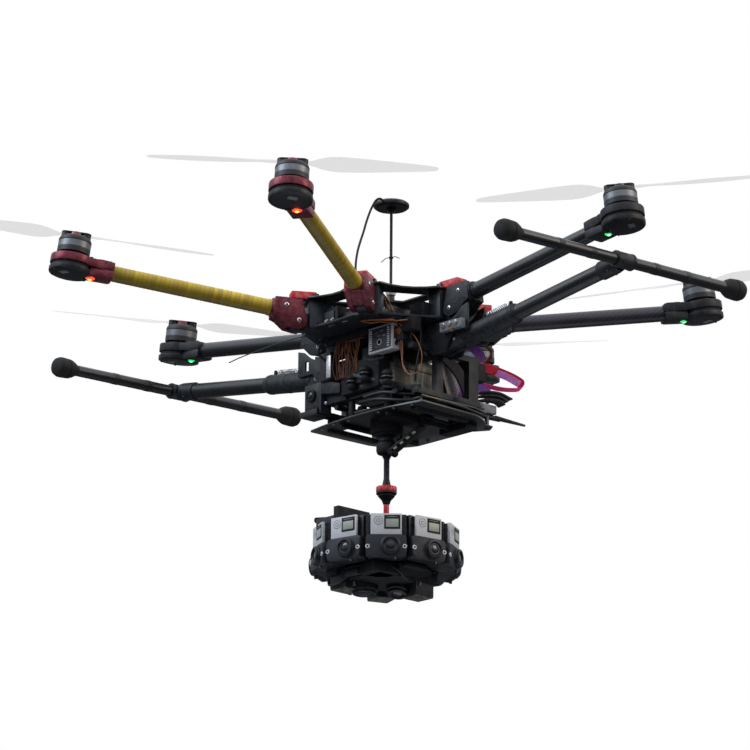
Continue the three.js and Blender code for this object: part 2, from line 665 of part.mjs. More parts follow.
function gpsCable() {
  const route = new THREE.CatmullRomCurve3(CABLE_ROUTE.map((point) => new THREE.Vector3(...point)));
  const section = new THREE.Shape();
  section.absarc(0, 0, CABLE_R, 0, 2 * Math.PI);
  return fresh(new THREE.ExtrudeGeometry(section, { steps: 36, extrudePath: route, curveSegments: 4 }));
}

// ---------------------------------------------------------------- assembly

const drone = new THREE.Group();
for (let number = 0; number < ARM_COUNT; number += 1) drone.add(arm(number));
drone.add(
  piece('top_plate', topPlate(), 'carbon'),
  piece('frame_core', frameCore(), 'moulded_black'),
  piece('flight_controller', flightController(), 'moulded_black'),
  piece('gps_mast', gpsMast(), 'carbon'),
  piece('gps_puck', gpsPuck(), 'puck_black'),
  piece('gps_cable', gpsCable(), 'cable_black'),
  piece('battery', battery(), 'battery_wrap'),
  piece('battery_tray', batteryTray(), 'carbon'),
  piece('payload_plate', payloadPlate(), 'carbon'),
  piece('gear_beam', gearBeam(), 'moulded_black'),
  landingLeg('left', 1),
  landingLeg('right', -1),
);

const rig = new THREE.Group();
rig.position.y = ROD_Y;
rig.add(
  piece('payload_rod', payloadRod(), 'moulded_black'),
  piece('quick_release_knob', quickReleaseKnob(), 'red_plastic'),
  piece('rig_frame', rigFrame(), 'moulded_black'),
  piece('camera_ring', cameraRing(), 'camera_silver'),
);
drone.add(rig);

export default drone;
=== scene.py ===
"""Looks of the six-rotor camera drone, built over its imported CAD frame.

The builders below take millimetres in the row frame, or in the frame of an arm, a motor, a leg or
a camera, and turn them into metres when a piece is finished.
"""

import math

import bmesh
import bpy
from mathutils import Matrix, Vector


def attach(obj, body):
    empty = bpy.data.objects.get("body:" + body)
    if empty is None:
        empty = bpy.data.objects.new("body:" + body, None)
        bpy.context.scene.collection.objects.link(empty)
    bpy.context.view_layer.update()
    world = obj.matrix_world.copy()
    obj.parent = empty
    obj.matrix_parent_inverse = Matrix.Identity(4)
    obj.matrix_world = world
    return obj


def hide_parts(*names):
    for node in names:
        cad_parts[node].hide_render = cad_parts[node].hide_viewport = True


MM = 0.001

# Camera: where it stands round the drone, and the point that it frames, in metres
CAMERA_AZIMUTH = 46.98
CAMERA_ELEVATION = -16.82
CAMERA_ROLL = 0.34
CAMERA_DISTANCE = 6.82373
CAMERA_LENS = 236.7
CAMERA_TARGET = (0.0, 0.0, 0.430)
TARGET_RIGHT_OF_CENTRE = 0.02188
TARGET_ABOVE_CENTRE = 0.10678

# Arms, as the CAD has them
ARM_NAMES = ["mid_left", "rear_left", "rear_right", "mid_right", "front_right", "front_left"]
FRONT_ARMS = ("front_right", "front_left")
HINGE_R = 132
HINGE_Z = 384
MOTOR_CIRCLE_R = 450
MOTOR_FOOT_Z = 430
DIHEDRAL = math.radians(8.2)
ARM_RUN = MOTOR_CIRCLE_R - HINGE_R
ARM_RISE = MOTOR_FOOT_Z - HINGE_Z
MOTOR_X = ARM_RUN * math.cos(DIHEDRAL) + ARM_RISE * math.sin(DIHEDRAL)
MOTOR_FOOT = ARM_RISE * math.cos(DIHEDRAL) - ARM_RUN * math.sin(DIHEDRAL)
TUBE_R = 11
TUBE_AXIS = 14
TUBE_START = 39
TAPE_TURN = 6.2
KNUCKLE_HALF = 15.5
ROOT_HALF = 19
FORK_HALF = 7.8
CLIP_PIVOT_Z = 421.5

# Motor stack above the motor's foot, and propellers
COVER_R = 29.5
WAIST_R = 27
COVER_TOP = 8
RING_BOTTOM = 12.5
RING_TOP = 24
STATOR_R = 19.7
BELL_R = 22.75
BELL_BOTTOM = 28.5
BELL_SHOULDER = 45
BELL_BAND = (35.4, 44.8)
BELL_TOP = 52
HUB_TOP = 60.5
PROP_R = 190.5
BLADE_PIVOT_R = 14
BLADE_AZIMUTH = math.radians(47)
BLADE_MID_Z = (BELL_TOP + HUB_TOP) / 2

# Landing gear
GEAR_PIVOT = (110, 0, 335)
TEE_X = 448
TEE_Z = 384
LEG_RUN = TEE_X - GEAR_PIVOT[0]
LEG_RISE = TEE_Z - GEAR_PIVOT[2]
LEG_LENGTH = math.hypot(LEG_RUN, LEG_RISE)
LEG_TILT = math.atan2(LEG_RISE, LEG_RUN)
SKID_PITCH = math.radians(1.5)
SKID_HALF = 230

# Camera rig
ROD_Y = -6
CAMERA_COUNT = 10
RIG_AZIMUTH = math.radians(-43)

# The receiver's cable, from the puck to the flight controller
CABLE_DIAMETER = 3.2
CABLE_ROUTE = [
    (8.7, -23.9, 563.6), (9.4, -26.4, 564.4), (9.4, -29.4, 565.2), (7.4, -31.6, 565), (4.5, -33.2, 563.2),
    (1.5, -35, 558.2), (-2.3, -38, 547.8), (-5.9, -41.4, 533), (-8.9, -44, 518.4), (-12.2, -47, 504),
    (-15, -49.4, 490), (-17.2, -50.6, 472), (-17.4, -50, 456), (-16, -48.2, 441), (-14.4, -46.4, 428),
    (-13.6, -45.4, 417), (-13.4, -45, 408.5),
]

SHARP = math.radians(38)  # faces that meet at more than this keep a hard edge

# The floor, far enough below the drone to stay out of the picture, and the lamps' target, in metres
FLOOR_HALF = 1.5
FLOOR_Z = -2.0
LAMP_TARGET = Vector((0, 0, 0.35))

# Light that the sky gives, from straight down (0) through the horizon (0.5) to straight up (1)
SKY_STOPS = [(0.0, (0.035, 0.036, 0.04)), (0.40, (0.07, 0.073, 0.08)), (0.52, (0.22, 0.23, 0.25)),
             (0.72, (0.80, 0.84, 0.90)), (1.0, (1.15, 1.2, 1.28))]

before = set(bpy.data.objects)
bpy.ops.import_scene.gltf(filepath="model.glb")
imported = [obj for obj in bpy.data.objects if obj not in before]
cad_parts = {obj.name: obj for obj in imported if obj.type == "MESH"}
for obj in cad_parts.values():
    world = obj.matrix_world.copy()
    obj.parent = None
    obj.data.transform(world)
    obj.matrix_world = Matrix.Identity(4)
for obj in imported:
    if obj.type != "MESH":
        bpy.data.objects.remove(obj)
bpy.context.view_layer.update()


# ---------------------------------------------------------------- camera


def outward(azimuth, elevation):
    """The direction to a place round the drone: azimuth 0 is off its nose, and 90 off its left side."""
    a, e = math.radians(azimuth), math.radians(elevation)
    return Vector((math.sin(a) * math.cos(e), -math.cos(a) * math.cos(e), math.sin(e)))


def make_camera():
    """Stands the camera below and to the front left of the drone, looking up at it."""
    roll = math.radians(CAMERA_ROLL)
    back = outward(CAMERA_AZIMUTH, CAMERA_ELEVATION)
    right = outward(CAMERA_AZIMUTH + 90, 0)
    up = back.cross(right)
    rolled_right = right * math.cos(roll) + up * math.sin(roll)
    rolled_up = up * math.cos(roll) - right * math.sin(roll)
    target = Vector(CAMERA_TARGET)
    centre = target - rolled_right * TARGET_RIGHT_OF_CENTRE - rolled_up * TARGET_ABOVE_CENTRE
    place = target + back * CAMERA_DISTANCE
    # The camera turns a little so that the framed point is off the picture's centre.
    toward = (place - centre).normalized()
    side = (rolled_up.cross(toward)).normalized()
    over = toward.cross(side)
    data = bpy.data.cameras.new("camera")
    data.lens = CAMERA_LENS
    data.sensor_width = 36
    data.clip_start = 0.1
    data.clip_end = 60
    camera = bpy.data.objects.new("camera", data)
    bpy.context.scene.collection.objects.link(camera)
    turn = Matrix((side, over, toward)).transposed().to_4x4()
    camera.matrix_world = Matrix.Translation(place) @ turn
    bpy.context.scene.camera = camera


make_camera()


# ---------------------------------------------------------------- node materials


def set_stops(ramp, stops):
    """Gives a colour ramp its stops."""
    elements = ramp.color_ramp.elements
    while len(elements) < len(stops):
        elements.new(0.5)
    for element, (position, color) in zip(elements, stops):
        element.position = position
        element.color = (*color, 1)


class Finish:
    """A procedural material: short ways to add nodes and join them to one shader."""

    def __init__(self, name):
        self.material = bpy.data.materials.new(name)
        self.material.use_nodes = True
        self.tree = self.material.node_tree
        self.shader = self.tree.nodes["Principled BSDF"]
        self.place = self.add("ShaderNodeTexCoord").outputs["Object"]

    def add(self, kind, inputs=None, **settings):
        node = self.tree.nodes.new(kind)
        for key, value in settings.items():
            setattr(node, key, value)
        for key, value in (inputs or {}).items():
            self.feed(node.inputs[key], value)
        return node

    def feed(self, socket, value):
        """Links a socket to another one, or sets a constant on it."""
        if isinstance(value, bpy.types.NodeSocket):
            self.tree.links.new(value, socket)
        elif socket.type == "RGBA":
            socket.default_value = (*value, 1)
        else:
            socket.default_value = value

    def noise(self, scale, detail=4.0, stretch=(1, 1, 1), rough=0.55):
        moved = self.add("ShaderNodeMapping", {"Vector": self.place, "Scale": stretch})
        node = self.add("ShaderNodeTexNoise", {"Vector": moved.outputs[0], "Scale": scale, "Detail": detail,
                                               "Roughness": rough})
        return node.outputs["Fac"]

    def math(self, operation, a, b=0.0):
        return self.add("ShaderNodeMath", {0: a, 1: b}, operation=operation).outputs[0]

    def ramp(self, factor, stops):
        node = self.add("ShaderNodeValToRGB", {"Fac": factor})
        set_stops(node, stops)
        return node.outputs["Color"]

    def grey(self, factor, low, high, start=0.0, end=1.0):
        node = self.add("ShaderNodeMapRange", {"Value": factor, "From Min": start, "From Max": end,
                                               "To Min": low, "To Max": high})
        return node.outputs["Result"]

    def mix(self, factor, a, b):
        return self.add("ShaderNodeMix", {0: factor, 6: a, 7: b}, data_type="RGBA").outputs[2]

    def axis(self, name):
        return self.add("ShaderNodeSeparateXYZ", {"Vector": self.place}).outputs[name]

    def bump(self, height, distance, strength=1.0):
        node = self.add("ShaderNodeBump", {"Height": height, "Distance": distance, "Strength": strength})
        self.tree.links.new(node.outputs["Normal"], self.shader.inputs["Normal"])

    def edge_wear(self, amount=0.5):
        """Lighter along worn edges: the mesh's own pointiness, broken up by noise."""
        point = self.add("ShaderNodeNewGeometry").outputs["Pointiness"]
        edge = self.grey(point, 0.0, 1.0, 0.515, 0.58)
        patchy = self.grey(self.noise(140, 5), 0.0, 1.0, 0.42, 0.66)
        return self.math("MULTIPLY", self.math("MULTIPLY", edge, patchy), amount)

    def done(self, color, roughness, metallic=0.0, **constants):
        self.feed(self.shader.inputs["Base Color"], color)
        self.feed(self.shader.inputs["Roughness"], roughness)
        self.feed(self.shader.inputs["Metallic"], metallic)
        for key, value in constants.items():
            self.shader.inputs[key.replace("_", " ").title()].default_value = value
        return self.material


def moulded_plastic(name, low, high, roughness=0.5, wear=(0.055, 0.06, 0.068)):
    """Injection-moulded or anodised parts: a faint cloud of tone, fine texture and rubbed edges."""
    f = Finish(name)
    cloud = f.ramp(f.noise(28, 5), [(0.3, low), (0.7, high)])
    color = f.mix(f.edge_wear(0.6), cloud, wear)
    speckle = f.noise(900, 3)
    rough = f.grey(f.noise(60, 4), roughness - 0.08, roughness + 0.1, 0.3, 0.7)
    f.bump(speckle, 0.00012, 0.5)
    f.shader.inputs["Specular IOR Level"].default_value = 0.36
    return f.done(color, rough)


def weave(f, across, along, cell):
    """A twill of carbon tows: 0 and 1 where the tow runs one way or the other, and its rounded height."""
    u = f.math("DIVIDE", across, cell)
    v = f.math("DIVIDE", along, cell)
    step = f.math("ADD", f.math("FLOOR", u), f.math("FLOOR", v))
    over = f.math("LESS_THAN", f.math("FLOORED_MODULO", step, 4.0), 1.5)
    bulge_u = f.math("PINGPONG", u, 0.5)
    bulge_v = f.math("PINGPONG", v, 0.5)
    height = f.add("ShaderNodeMix", {0: over, 2: bulge_u, 3: bulge_v}).outputs[0]
    return over, height


def carbon(name, tone=1.0, tube_centre=None, cell=0.0022, roughness=0.36, tint=(1, 1, 1)):
    """Carbon-fibre laminate: flat, or wrapped round a tube whose axis is at tube_centre in Y and Z."""
    f = Finish(name)
    if tube_centre is None:
        across, along = f.axis("X"), f.axis("Y")
    else:
        y = f.math("SUBTRACT", f.axis("Y"), tube_centre[0])
        z = f.math("SUBTRACT", f.axis("Z"), tube_centre[1])
        across = f.math("MULTIPLY", f.math("ARCTAN2", z, y), TUBE_R * MM)
        along = f.axis("X")
    over, height = weave(f, across, along, cell)
    low = tuple(0.013 * tone * t for t in tint)
    high = tuple(0.030 * tone * t for t in tint)
    tows = f.mix(f.math("MULTIPLY", over, 0.7), low, high)
    smudge = f.noise(18, 4)
    color = f.mix(f.grey(smudge, 0.0, 0.35, 0.4, 0.75), tows, tuple(0.045 * tone * t for t in tint))
    rough = f.grey(smudge, roughness - 0.07, roughness + 0.12, 0.3, 0.7)
    f.bump(height, 0.00009, 0.6)
    return f.done(color, rough, 0.0, coat_weight=0.25, coat_roughness=0.2)


def yellow_tape():
    """Tape wound round the front arm tubes: overlapping turns, dirty seams and painted shade that darkens the
    lower half of the tube.
    """
    f = Finish("yellow_tape")
    lean = f.math("MULTIPLY", f.axis("Z"), 14.0)
    spiral = f.math("ADD", f.math("DIVIDE", f.axis("X"), TAPE_TURN * MM), lean)
    phase = f.math("FRACT", spiral)
    turn = f.add("ShaderNodeTexWhiteNoise", {"W": f.math("FLOOR", spiral)}, noise_dimensions="1D")
    body = f.ramp(turn.outputs["Value"], [(0.0, (0.46, 0.30, 0.002)), (0.55, (0.60, 0.41, 0.003)),
                                          (1.0, (0.70, 0.50, 0.006))])
    shade = f.mix(f.math("MULTIPLY", f.math("LESS_THAN", phase, 0.16), 0.5), body, (0.26, 0.15, 0.003))
    dirty = f.mix(f.grey(f.noise(45, 6), 0.0, 0.25, 0.5, 0.72), shade, (0.30, 0.20, 0.01))
    # Painted shade: below the tube's axis the colour fades towards a dim olive, as if the lower half lay in
    # shade.
    height = f.math("SUBTRACT", f.axis("Z"), TUBE_AXIS * MM)
    painted_shade_below = f.grey(height, 0.72, 0.0, -0.009, 0.005)
    color = f.mix(painted_shade_below, dirty, (0.115, 0.080, 0.004))
    rough = f.grey(f.noise(70, 4), 0.38, 0.55, 0.3, 0.7)
    f.bump(f.math("PINGPONG", phase, 0.5), 0.0003, 0.5)
    return f.done(color, rough, 0.0, coat_weight=0.25, coat_roughness=0.35)


def anodised(name, low, high, wear, roughness=0.36, metallic=0.55):
    """Anodised aluminium: tinted metal with a fine machined grain and bare metal on rubbed edges."""
    f = Finish(name)
    cloud = f.ramp(f.noise(22, 4), [(0.3, low), (0.72, high)])
    color = f.mix(f.edge_wear(0.7), cloud, wear)
    grain = f.noise(500, 3, (0.2, 1, 1))
    f.bump(grain, 0.00008, 0.6)
    return f.done(color, f.grey(grain, roughness - 0.08, roughness + 0.12, 0.3, 0.7), metallic)


def brushed(name, low, high, roughness=0.3, metallic=1.0, stretch=(1, 1, 14)):
    """Bare or nickelled metal with a brushed grain."""
    f = Finish(name)
    grain = f.noise(160, 5, stretch)
    color = f.ramp(grain, [(0.25, low), (0.75, high)])
    f.bump(grain, 0.00006, 0.5)
    return f.done(color, f.grey(grain, roughness - 0.08, roughness + 0.12, 0.3, 0.7), metallic)


def bell_metal():
    """A motor bell's wall: black at the skirt and shoulder, with the bright flux ring as a band between."""
    f = Finish("bell_metal")
    height = f.axis("Z")
    grain = f.noise(260, 4, (1, 1, 20))
    black = f.ramp(grain, [(0.3, (0.012, 0.013, 0.016)), (0.7, (0.03, 0.031, 0.036))])
    steel = f.ramp(grain, [(0.3, (0.13, 0.135, 0.15)), (0.7, (0.24, 0.25, 0.27))])
    above = f.math("GREATER_THAN", height, BELL_BAND[0] * MM)
    below = f.math("LESS_THAN", height, BELL_BAND[1] * MM)
    band = f.math("MULTIPLY", above, below)
    color = f.mix(band, black, steel)
    f.bump(grain, 0.00005, 0.5)
    return f.done(color, f.grey(band, 0.5, 0.42), f.grey(band, 0.1, 0.7))


def battery_foil():
    """A pack in printed shrink wrap: crinkled dark film with pale vertical streaks that thicken upwards."""
    f = Finish("battery_foil")
    streak = f.noise(95, 6, (1, 1, 0.10), 0.6)
    patch = f.noise(26, 4)
    both = f.math("ADD", f.math("MULTIPLY", streak, 0.6), f.math("MULTIPLY", patch, 0.4))
    color = f.ramp(both, [(0.36, (0.012, 0.012, 0.010)), (0.47, (0.055, 0.055, 0.046)),
                          (0.56, (0.17, 0.17, 0.145)), (0.66, (0.50, 0.49, 0.44))])
    crinkle = f.noise(120, 8, (1, 1, 0.5), 0.7)
    f.bump(crinkle, 0.0015, 0.8)
    return f.done(color, f.grey(streak, 0.3, 0.5, 0.3, 0.7), 0.25)


def woven_strap(name, low, high, cell=0.0012):
    """Nylon webbing or velcro: a fine weave with the nap catching the light."""
    f = Finish(name)
    over, height = weave(f, f.axis("X"), f.axis("Z"), cell)
    fuzz = f.noise(300, 6)
    color = f.mix(f.grey(fuzz, 0.0, 1.0, 0.3, 0.75), low, high)
    f.bump(f.math("ADD", height, fuzz), 0.0003, 0.8)
    return f.done(color, 0.8, 0.0, sheen_weight=0.3)


def glowing(name, color, strength):
    """A lit lamp: a saturated colour that gives a little light of its own."""
    f = Finish(name)
    speck = f.noise(400, 2)
    tone = f.ramp(speck, [(0.2, color), (0.8, tuple(min(1, c * 1.15 + 0.02) for c in color))])
    f.feed(f.shader.inputs["Emission Color"], tone)
    f.shader.inputs["Emission Strength"].default_value = strength
    return f.done(tone, 0.3)


def lcd_screen():
    """A small status display that is switched off: grey-green glass with a darker header strip."""
    f = Finish("lcd_screen")
    cloud = f.noise(80, 3)
    color = f.ramp(cloud, [(0.3, (0.31, 0.34, 0.29)), (0.7, (0.40, 0.43, 0.37))])
    f.bump(f.noise(1500, 2), 0.00004, 0.4)
    return f.done(color, f.grey(cloud, 0.3, 0.45, 0.3, 0.7), 0.0, coat_weight=0.15)


def lens_glass():
    """Coated lens glass: nearly black, with a violet cast."""
    f = Finish("lens_glass")
    swirl = f.noise(90, 2)
    color = f.ramp(swirl, [(0.3, (0.006, 0.006, 0.012)), (0.7, (0.02, 0.012, 0.03))])
    return f.done(color, f.grey(swirl, 0.10, 0.18, 0.3, 0.7), 0.0, coat_weight=0.3)


def clear_nylon():
    """Milky see-through nylon."""
    f = Finish("clear_nylon")
    cloud = f.noise(200, 3)
    color = f.ramp(cloud, [(0.3, (0.72, 0.72, 0.70)), (0.7, (0.792, 0.792, 0.77))])
    f.bump(cloud, 0.0002, 0.4)
    return f.done(color, f.grey(cloud, 0.3, 0.45), 0.0, transmission_weight=0.35)


def smoked_blade():
    """Propeller blades: smoke-tinted glass-filled nylon that lets a good part of the light through."""
    f = Finish("smoked_blade")
    fibre = f.noise(220, 6, (0.08, 1, 1))
    color = f.ramp(fibre, [(0.3, (0.16, 0.165, 0.18)), (0.7, (0.26, 0.265, 0.28))])
    f.bump(fibre, 0.0001, 0.5)
    return f.done(color, f.grey(fibre, 0.3, 0.45, 0.3, 0.7), alpha=0.15)


def wire(name, low, high, roughness=0.5):
    """Insulated or enamelled wire with scuffs."""
    f = Finish(name)
    scuff = f.noise(150, 5)
    color = f.ramp(scuff, [(0.35, low), (0.7, high)])
    f.bump(f.noise(700, 3), 0.00008, 0.5)
    return f.done(color, f.grey(scuff, roughness - 0.1, roughness + 0.1, 0.3, 0.7))


def floor_paint():
    f = Finish("floor_paint")
    cloud = f.noise(0.8, 3)
    color = f.ramp(cloud, [(0.3, (0.60, 0.60, 0.61)), (0.7, (0.64, 0.64, 0.65))])
    return f.done(color, 0.9)


# Mouldings and cases
BLACK = moulded_plastic("moulded_black", (0.006, 0.007, 0.010), (0.012, 0.014, 0.019))
SATIN_BLACK = moulded_plastic("satin_black", (0.006, 0.0065, 0.008), (0.012, 0.013, 0.016), 0.42)
RUBBER = moulded_plastic("rubber_black", (0.006, 0.006, 0.007), (0.011, 0.011, 0.013),
                         0.7, (0.02, 0.02, 0.023))
BLUE_BLACK = moulded_plastic("frame_black", (0.008, 0.011, 0.016), (0.014, 0.019, 0.027),
                             0.42, (0.05, 0.06, 0.08))
RED = moulded_plastic("red_plastic", (0.52, 0.010, 0.022), (0.66, 0.020, 0.034), 0.36, (0.85, 0.30, 0.30))
BEIGE = moulded_plastic("beige_plastic", (0.46, 0.42, 0.34), (0.60, 0.56, 0.47), 0.5, (0.7, 0.66, 0.58))
GREY = moulded_plastic("grey_plastic", (0.13, 0.14, 0.155), (0.22, 0.23, 0.25), 0.45, (0.4, 0.4, 0.42))
LIGHT_GREY = moulded_plastic("light_grey_case", (0.44, 0.45, 0.46), (0.58, 0.59, 0.60),
                             0.45, (0.75, 0.75, 0.75))
SLATE = moulded_plastic("slate_label", (0.030, 0.034, 0.050), (0.050, 0.056, 0.078), 0.4)
WINDOW_RED = moulded_plastic("window_red", (0.09, 0.008, 0.008), (0.15, 0.012, 0.012), 0.25)
LIGHT_BLACK = moulded_plastic("bracket_black", (0.022, 0.024, 0.030), (0.038, 0.041, 0.050), 0.45)
HOUSING = moulded_plastic("camera_housing", (0.014, 0.016, 0.023), (0.024, 0.027, 0.036), 0.55)
OLIVE = moulded_plastic("olive_plate", (0.045, 0.046, 0.034), (0.075, 0.075, 0.055), 0.5, (0.3, 0.3, 0.24))

# Carbon, tape, film and webbing
PLATE_CARBON = carbon("plate_carbon", 0.6)
TUBE_CARBON = carbon("tube_carbon", 0.62, (0.0, TUBE_AXIS * MM), tint=(0.85, 0.95, 1.2))
LEG_CARBON = carbon("leg_carbon", 0.6, (0.0, 0.0), tint=(0.85, 0.95, 1.2))
YELLOW = yellow_tape()
BATTERY = battery_foil()
PINK_STRAP = woven_strap("pink_strap", (0.85, 0.01, 0.20), (1.0, 0.06, 0.36))
VIOLET_STRAP = woven_strap("violet_strap", (0.20, 0.05, 0.40), (0.38, 0.14, 0.66))
SILVER_STRAP = woven_strap("silver_strap", (0.34, 0.30, 0.33), (0.62, 0.56, 0.60))
BLACK_STRAP = woven_strap("black_strap", (0.010, 0.010, 0.012), (0.026, 0.026, 0.03))
TUBE_VIOLET = carbon("violet_tube", 1.1, (0.0, TUBE_AXIS * MM), tint=(1.0, 0.88, 1.45))
RED_STRAP = woven_strap("red_strap", (0.72, 0.004, 0.035), (0.95, 0.02, 0.08))
PINK_VIOLET = woven_strap("pink_violet_patch", (0.65, 0.16, 0.72), (0.95, 0.42, 1.0))

# Metals
MAROON = anodised("maroon_anodised", (0.11, 0.011, 0.022), (0.17, 0.018, 0.034), (0.34, 0.12, 0.14))
HUB_RED = anodised("hub_red", (0.20, 0.03, 0.045), (0.34, 0.07, 0.09), (0.55, 0.3, 0.3))
KNOB_RED = anodised("knob_red", (0.36, 0.006, 0.014), (0.55, 0.012, 0.022), (0.75, 0.30, 0.30), 0.3, 0.5)
SILVER = brushed("silver_metal", (0.55, 0.56, 0.58), (0.74, 0.75, 0.77))
DARK_STEEL = brushed("dark_steel", (0.05, 0.052, 0.058), (0.11, 0.115, 0.125), 0.35)
BELL = bell_metal()
CAMERA_SHELL = brushed("camera_shell", (0.56, 0.57, 0.60), (0.68, 0.69, 0.72), 0.55, 0.12, (14, 1, 1))

# Wires
COPPER = wire("copper_wire", (0.34, 0.12, 0.035), (0.55, 0.22, 0.08), 0.35)
WINDING = wire("winding_copper", (0.035, 0.014, 0.006), (0.09, 0.035, 0.015), 0.45)
BROWN = wire("brown_wire", (0.10, 0.028, 0.012), (0.24, 0.075, 0.03))
BLACK_WIRE = wire("black_wire", (0.010, 0.010, 0.012), (0.022, 0.022, 0.026))
WHITE = wire("white_nylon", (0.72, 0.72, 0.72), (0.88, 0.88, 0.88), 0.4)
CREAM = wire("cream_wire", (0.62, 0.58, 0.46), (0.80, 0.76, 0.64))
GREY_WIRE = wire("grey_wire", (0.05, 0.052, 0.056), (0.10, 0.102, 0.108))

# Lamps, glass and clear parts
LED_RED = glowing("led_red", (1.0, 0.025, 0.004), 3.0)
LED_RED_CORE = glowing("led_red_core", (1.0, 0.45, 0.05), 2.4)
LED_GREEN = glowing("led_green", (0.0, 0.55, 0.09), 1.6)
LED_GREEN_CORE = glowing("led_green_core", (0.30, 1.0, 0.42), 2.2)
SCREEN = lcd_screen()
GLASS = lens_glass()
CLEAR = clear_nylon()
BLADE = smoked_blade()


# ---------------------------------------------------------------- mesh helpers


def smooth_path(points, steps):
    """A Catmull-Rom curve through the points, as a longer list of points."""
    control = [Vector(p) for p in points]
    padded = [control[0] * 2 - control[1], *control, control[-1] * 2 - control[-2]]
    path = []
    for i in range(1, len(padded) - 2):
        a, b, c, d = padded[i - 1:i + 3]
        for k in range(steps):
            t = k / steps
            path.append(0.5 * (2 * b + (c - a) * t + (2 * a - 5 * b + 4 * c - d) * t ** 2
                               + (3 * b - a - 3 * c + d) * t ** 3))
    path.append(control[-1])
    return path


def polar(radius, angle, *z):
    return (radius * math.cos(angle), radius * math.sin(angle), *z)


def circle(count):
    return [2 * math.pi * i / count for i in range(count)]


def spin(degrees, axis="Z"):
    return Matrix.Rotation(math.radians(degrees), 4, axis)


def shift(x, y, z):
    return Matrix.Translation((x, y, z))


AS_IT_IS = Matrix.Identity(4)
AXIS_X = spin(90, "Y")  # lays a shape turned round Z along X
AXIS_Y = spin(-90, "X")  # lays it along Y


def disc(radius, low, high):
    """Profile of a plain cylinder from one height to another."""
    return [(0, low), (radius, low), (radius, high), (0, high)]


def washer(inner, outer, low, high):
    """Profile of a plain ring."""
    return [(inner, low), (outer, low), (outer, high), (inner, high), (inner, low)]


def span(side, near, far):
    """The stretch between two distances on one side of the middle, lowest first."""
    return (near, far) if side > 0 else (-far, -near)


def rounded_rectangle(half_width, half_height, radius, steps=6):
    """Corner points of a rectangle with rounded corners, counter-clockwise."""
    outline = []
    for quarter, (sx, sy) in enumerate(((1, 1), (-1, 1), (-1, -1), (1, -1))):
        for k in range(steps + 1):
            a = math.pi / 2 * (quarter + k / steps)
            outline.append((sx * (half_width - radius) + radius * math.cos(a),
                            sy * (half_height - radius) + radius * math.sin(a)))
    return outline


def directions(path):
    """Which way a path runs at each of its points."""
    last = len(path) - 1
    return [(path[min(i + 1, last)] - path[max(i - 1, 0)]).normalized() for i in range(len(path))]


def skinned(rings):
    """A closed solid over rings of points, which all have the same number of corners."""
    part = bmesh.new()
    rows = [[part.verts.new(point) for point in ring] for ring in rings]
    count = len(rows[0])
    for low, high in zip(rows, rows[1:]):
        for i in range(count):
            j = (i + 1) % count
            part.faces.new((low[i], low[j], high[j], high[i]))
    part.faces.new(rows[0])
    part.faces.new(rows[-1])
    return part


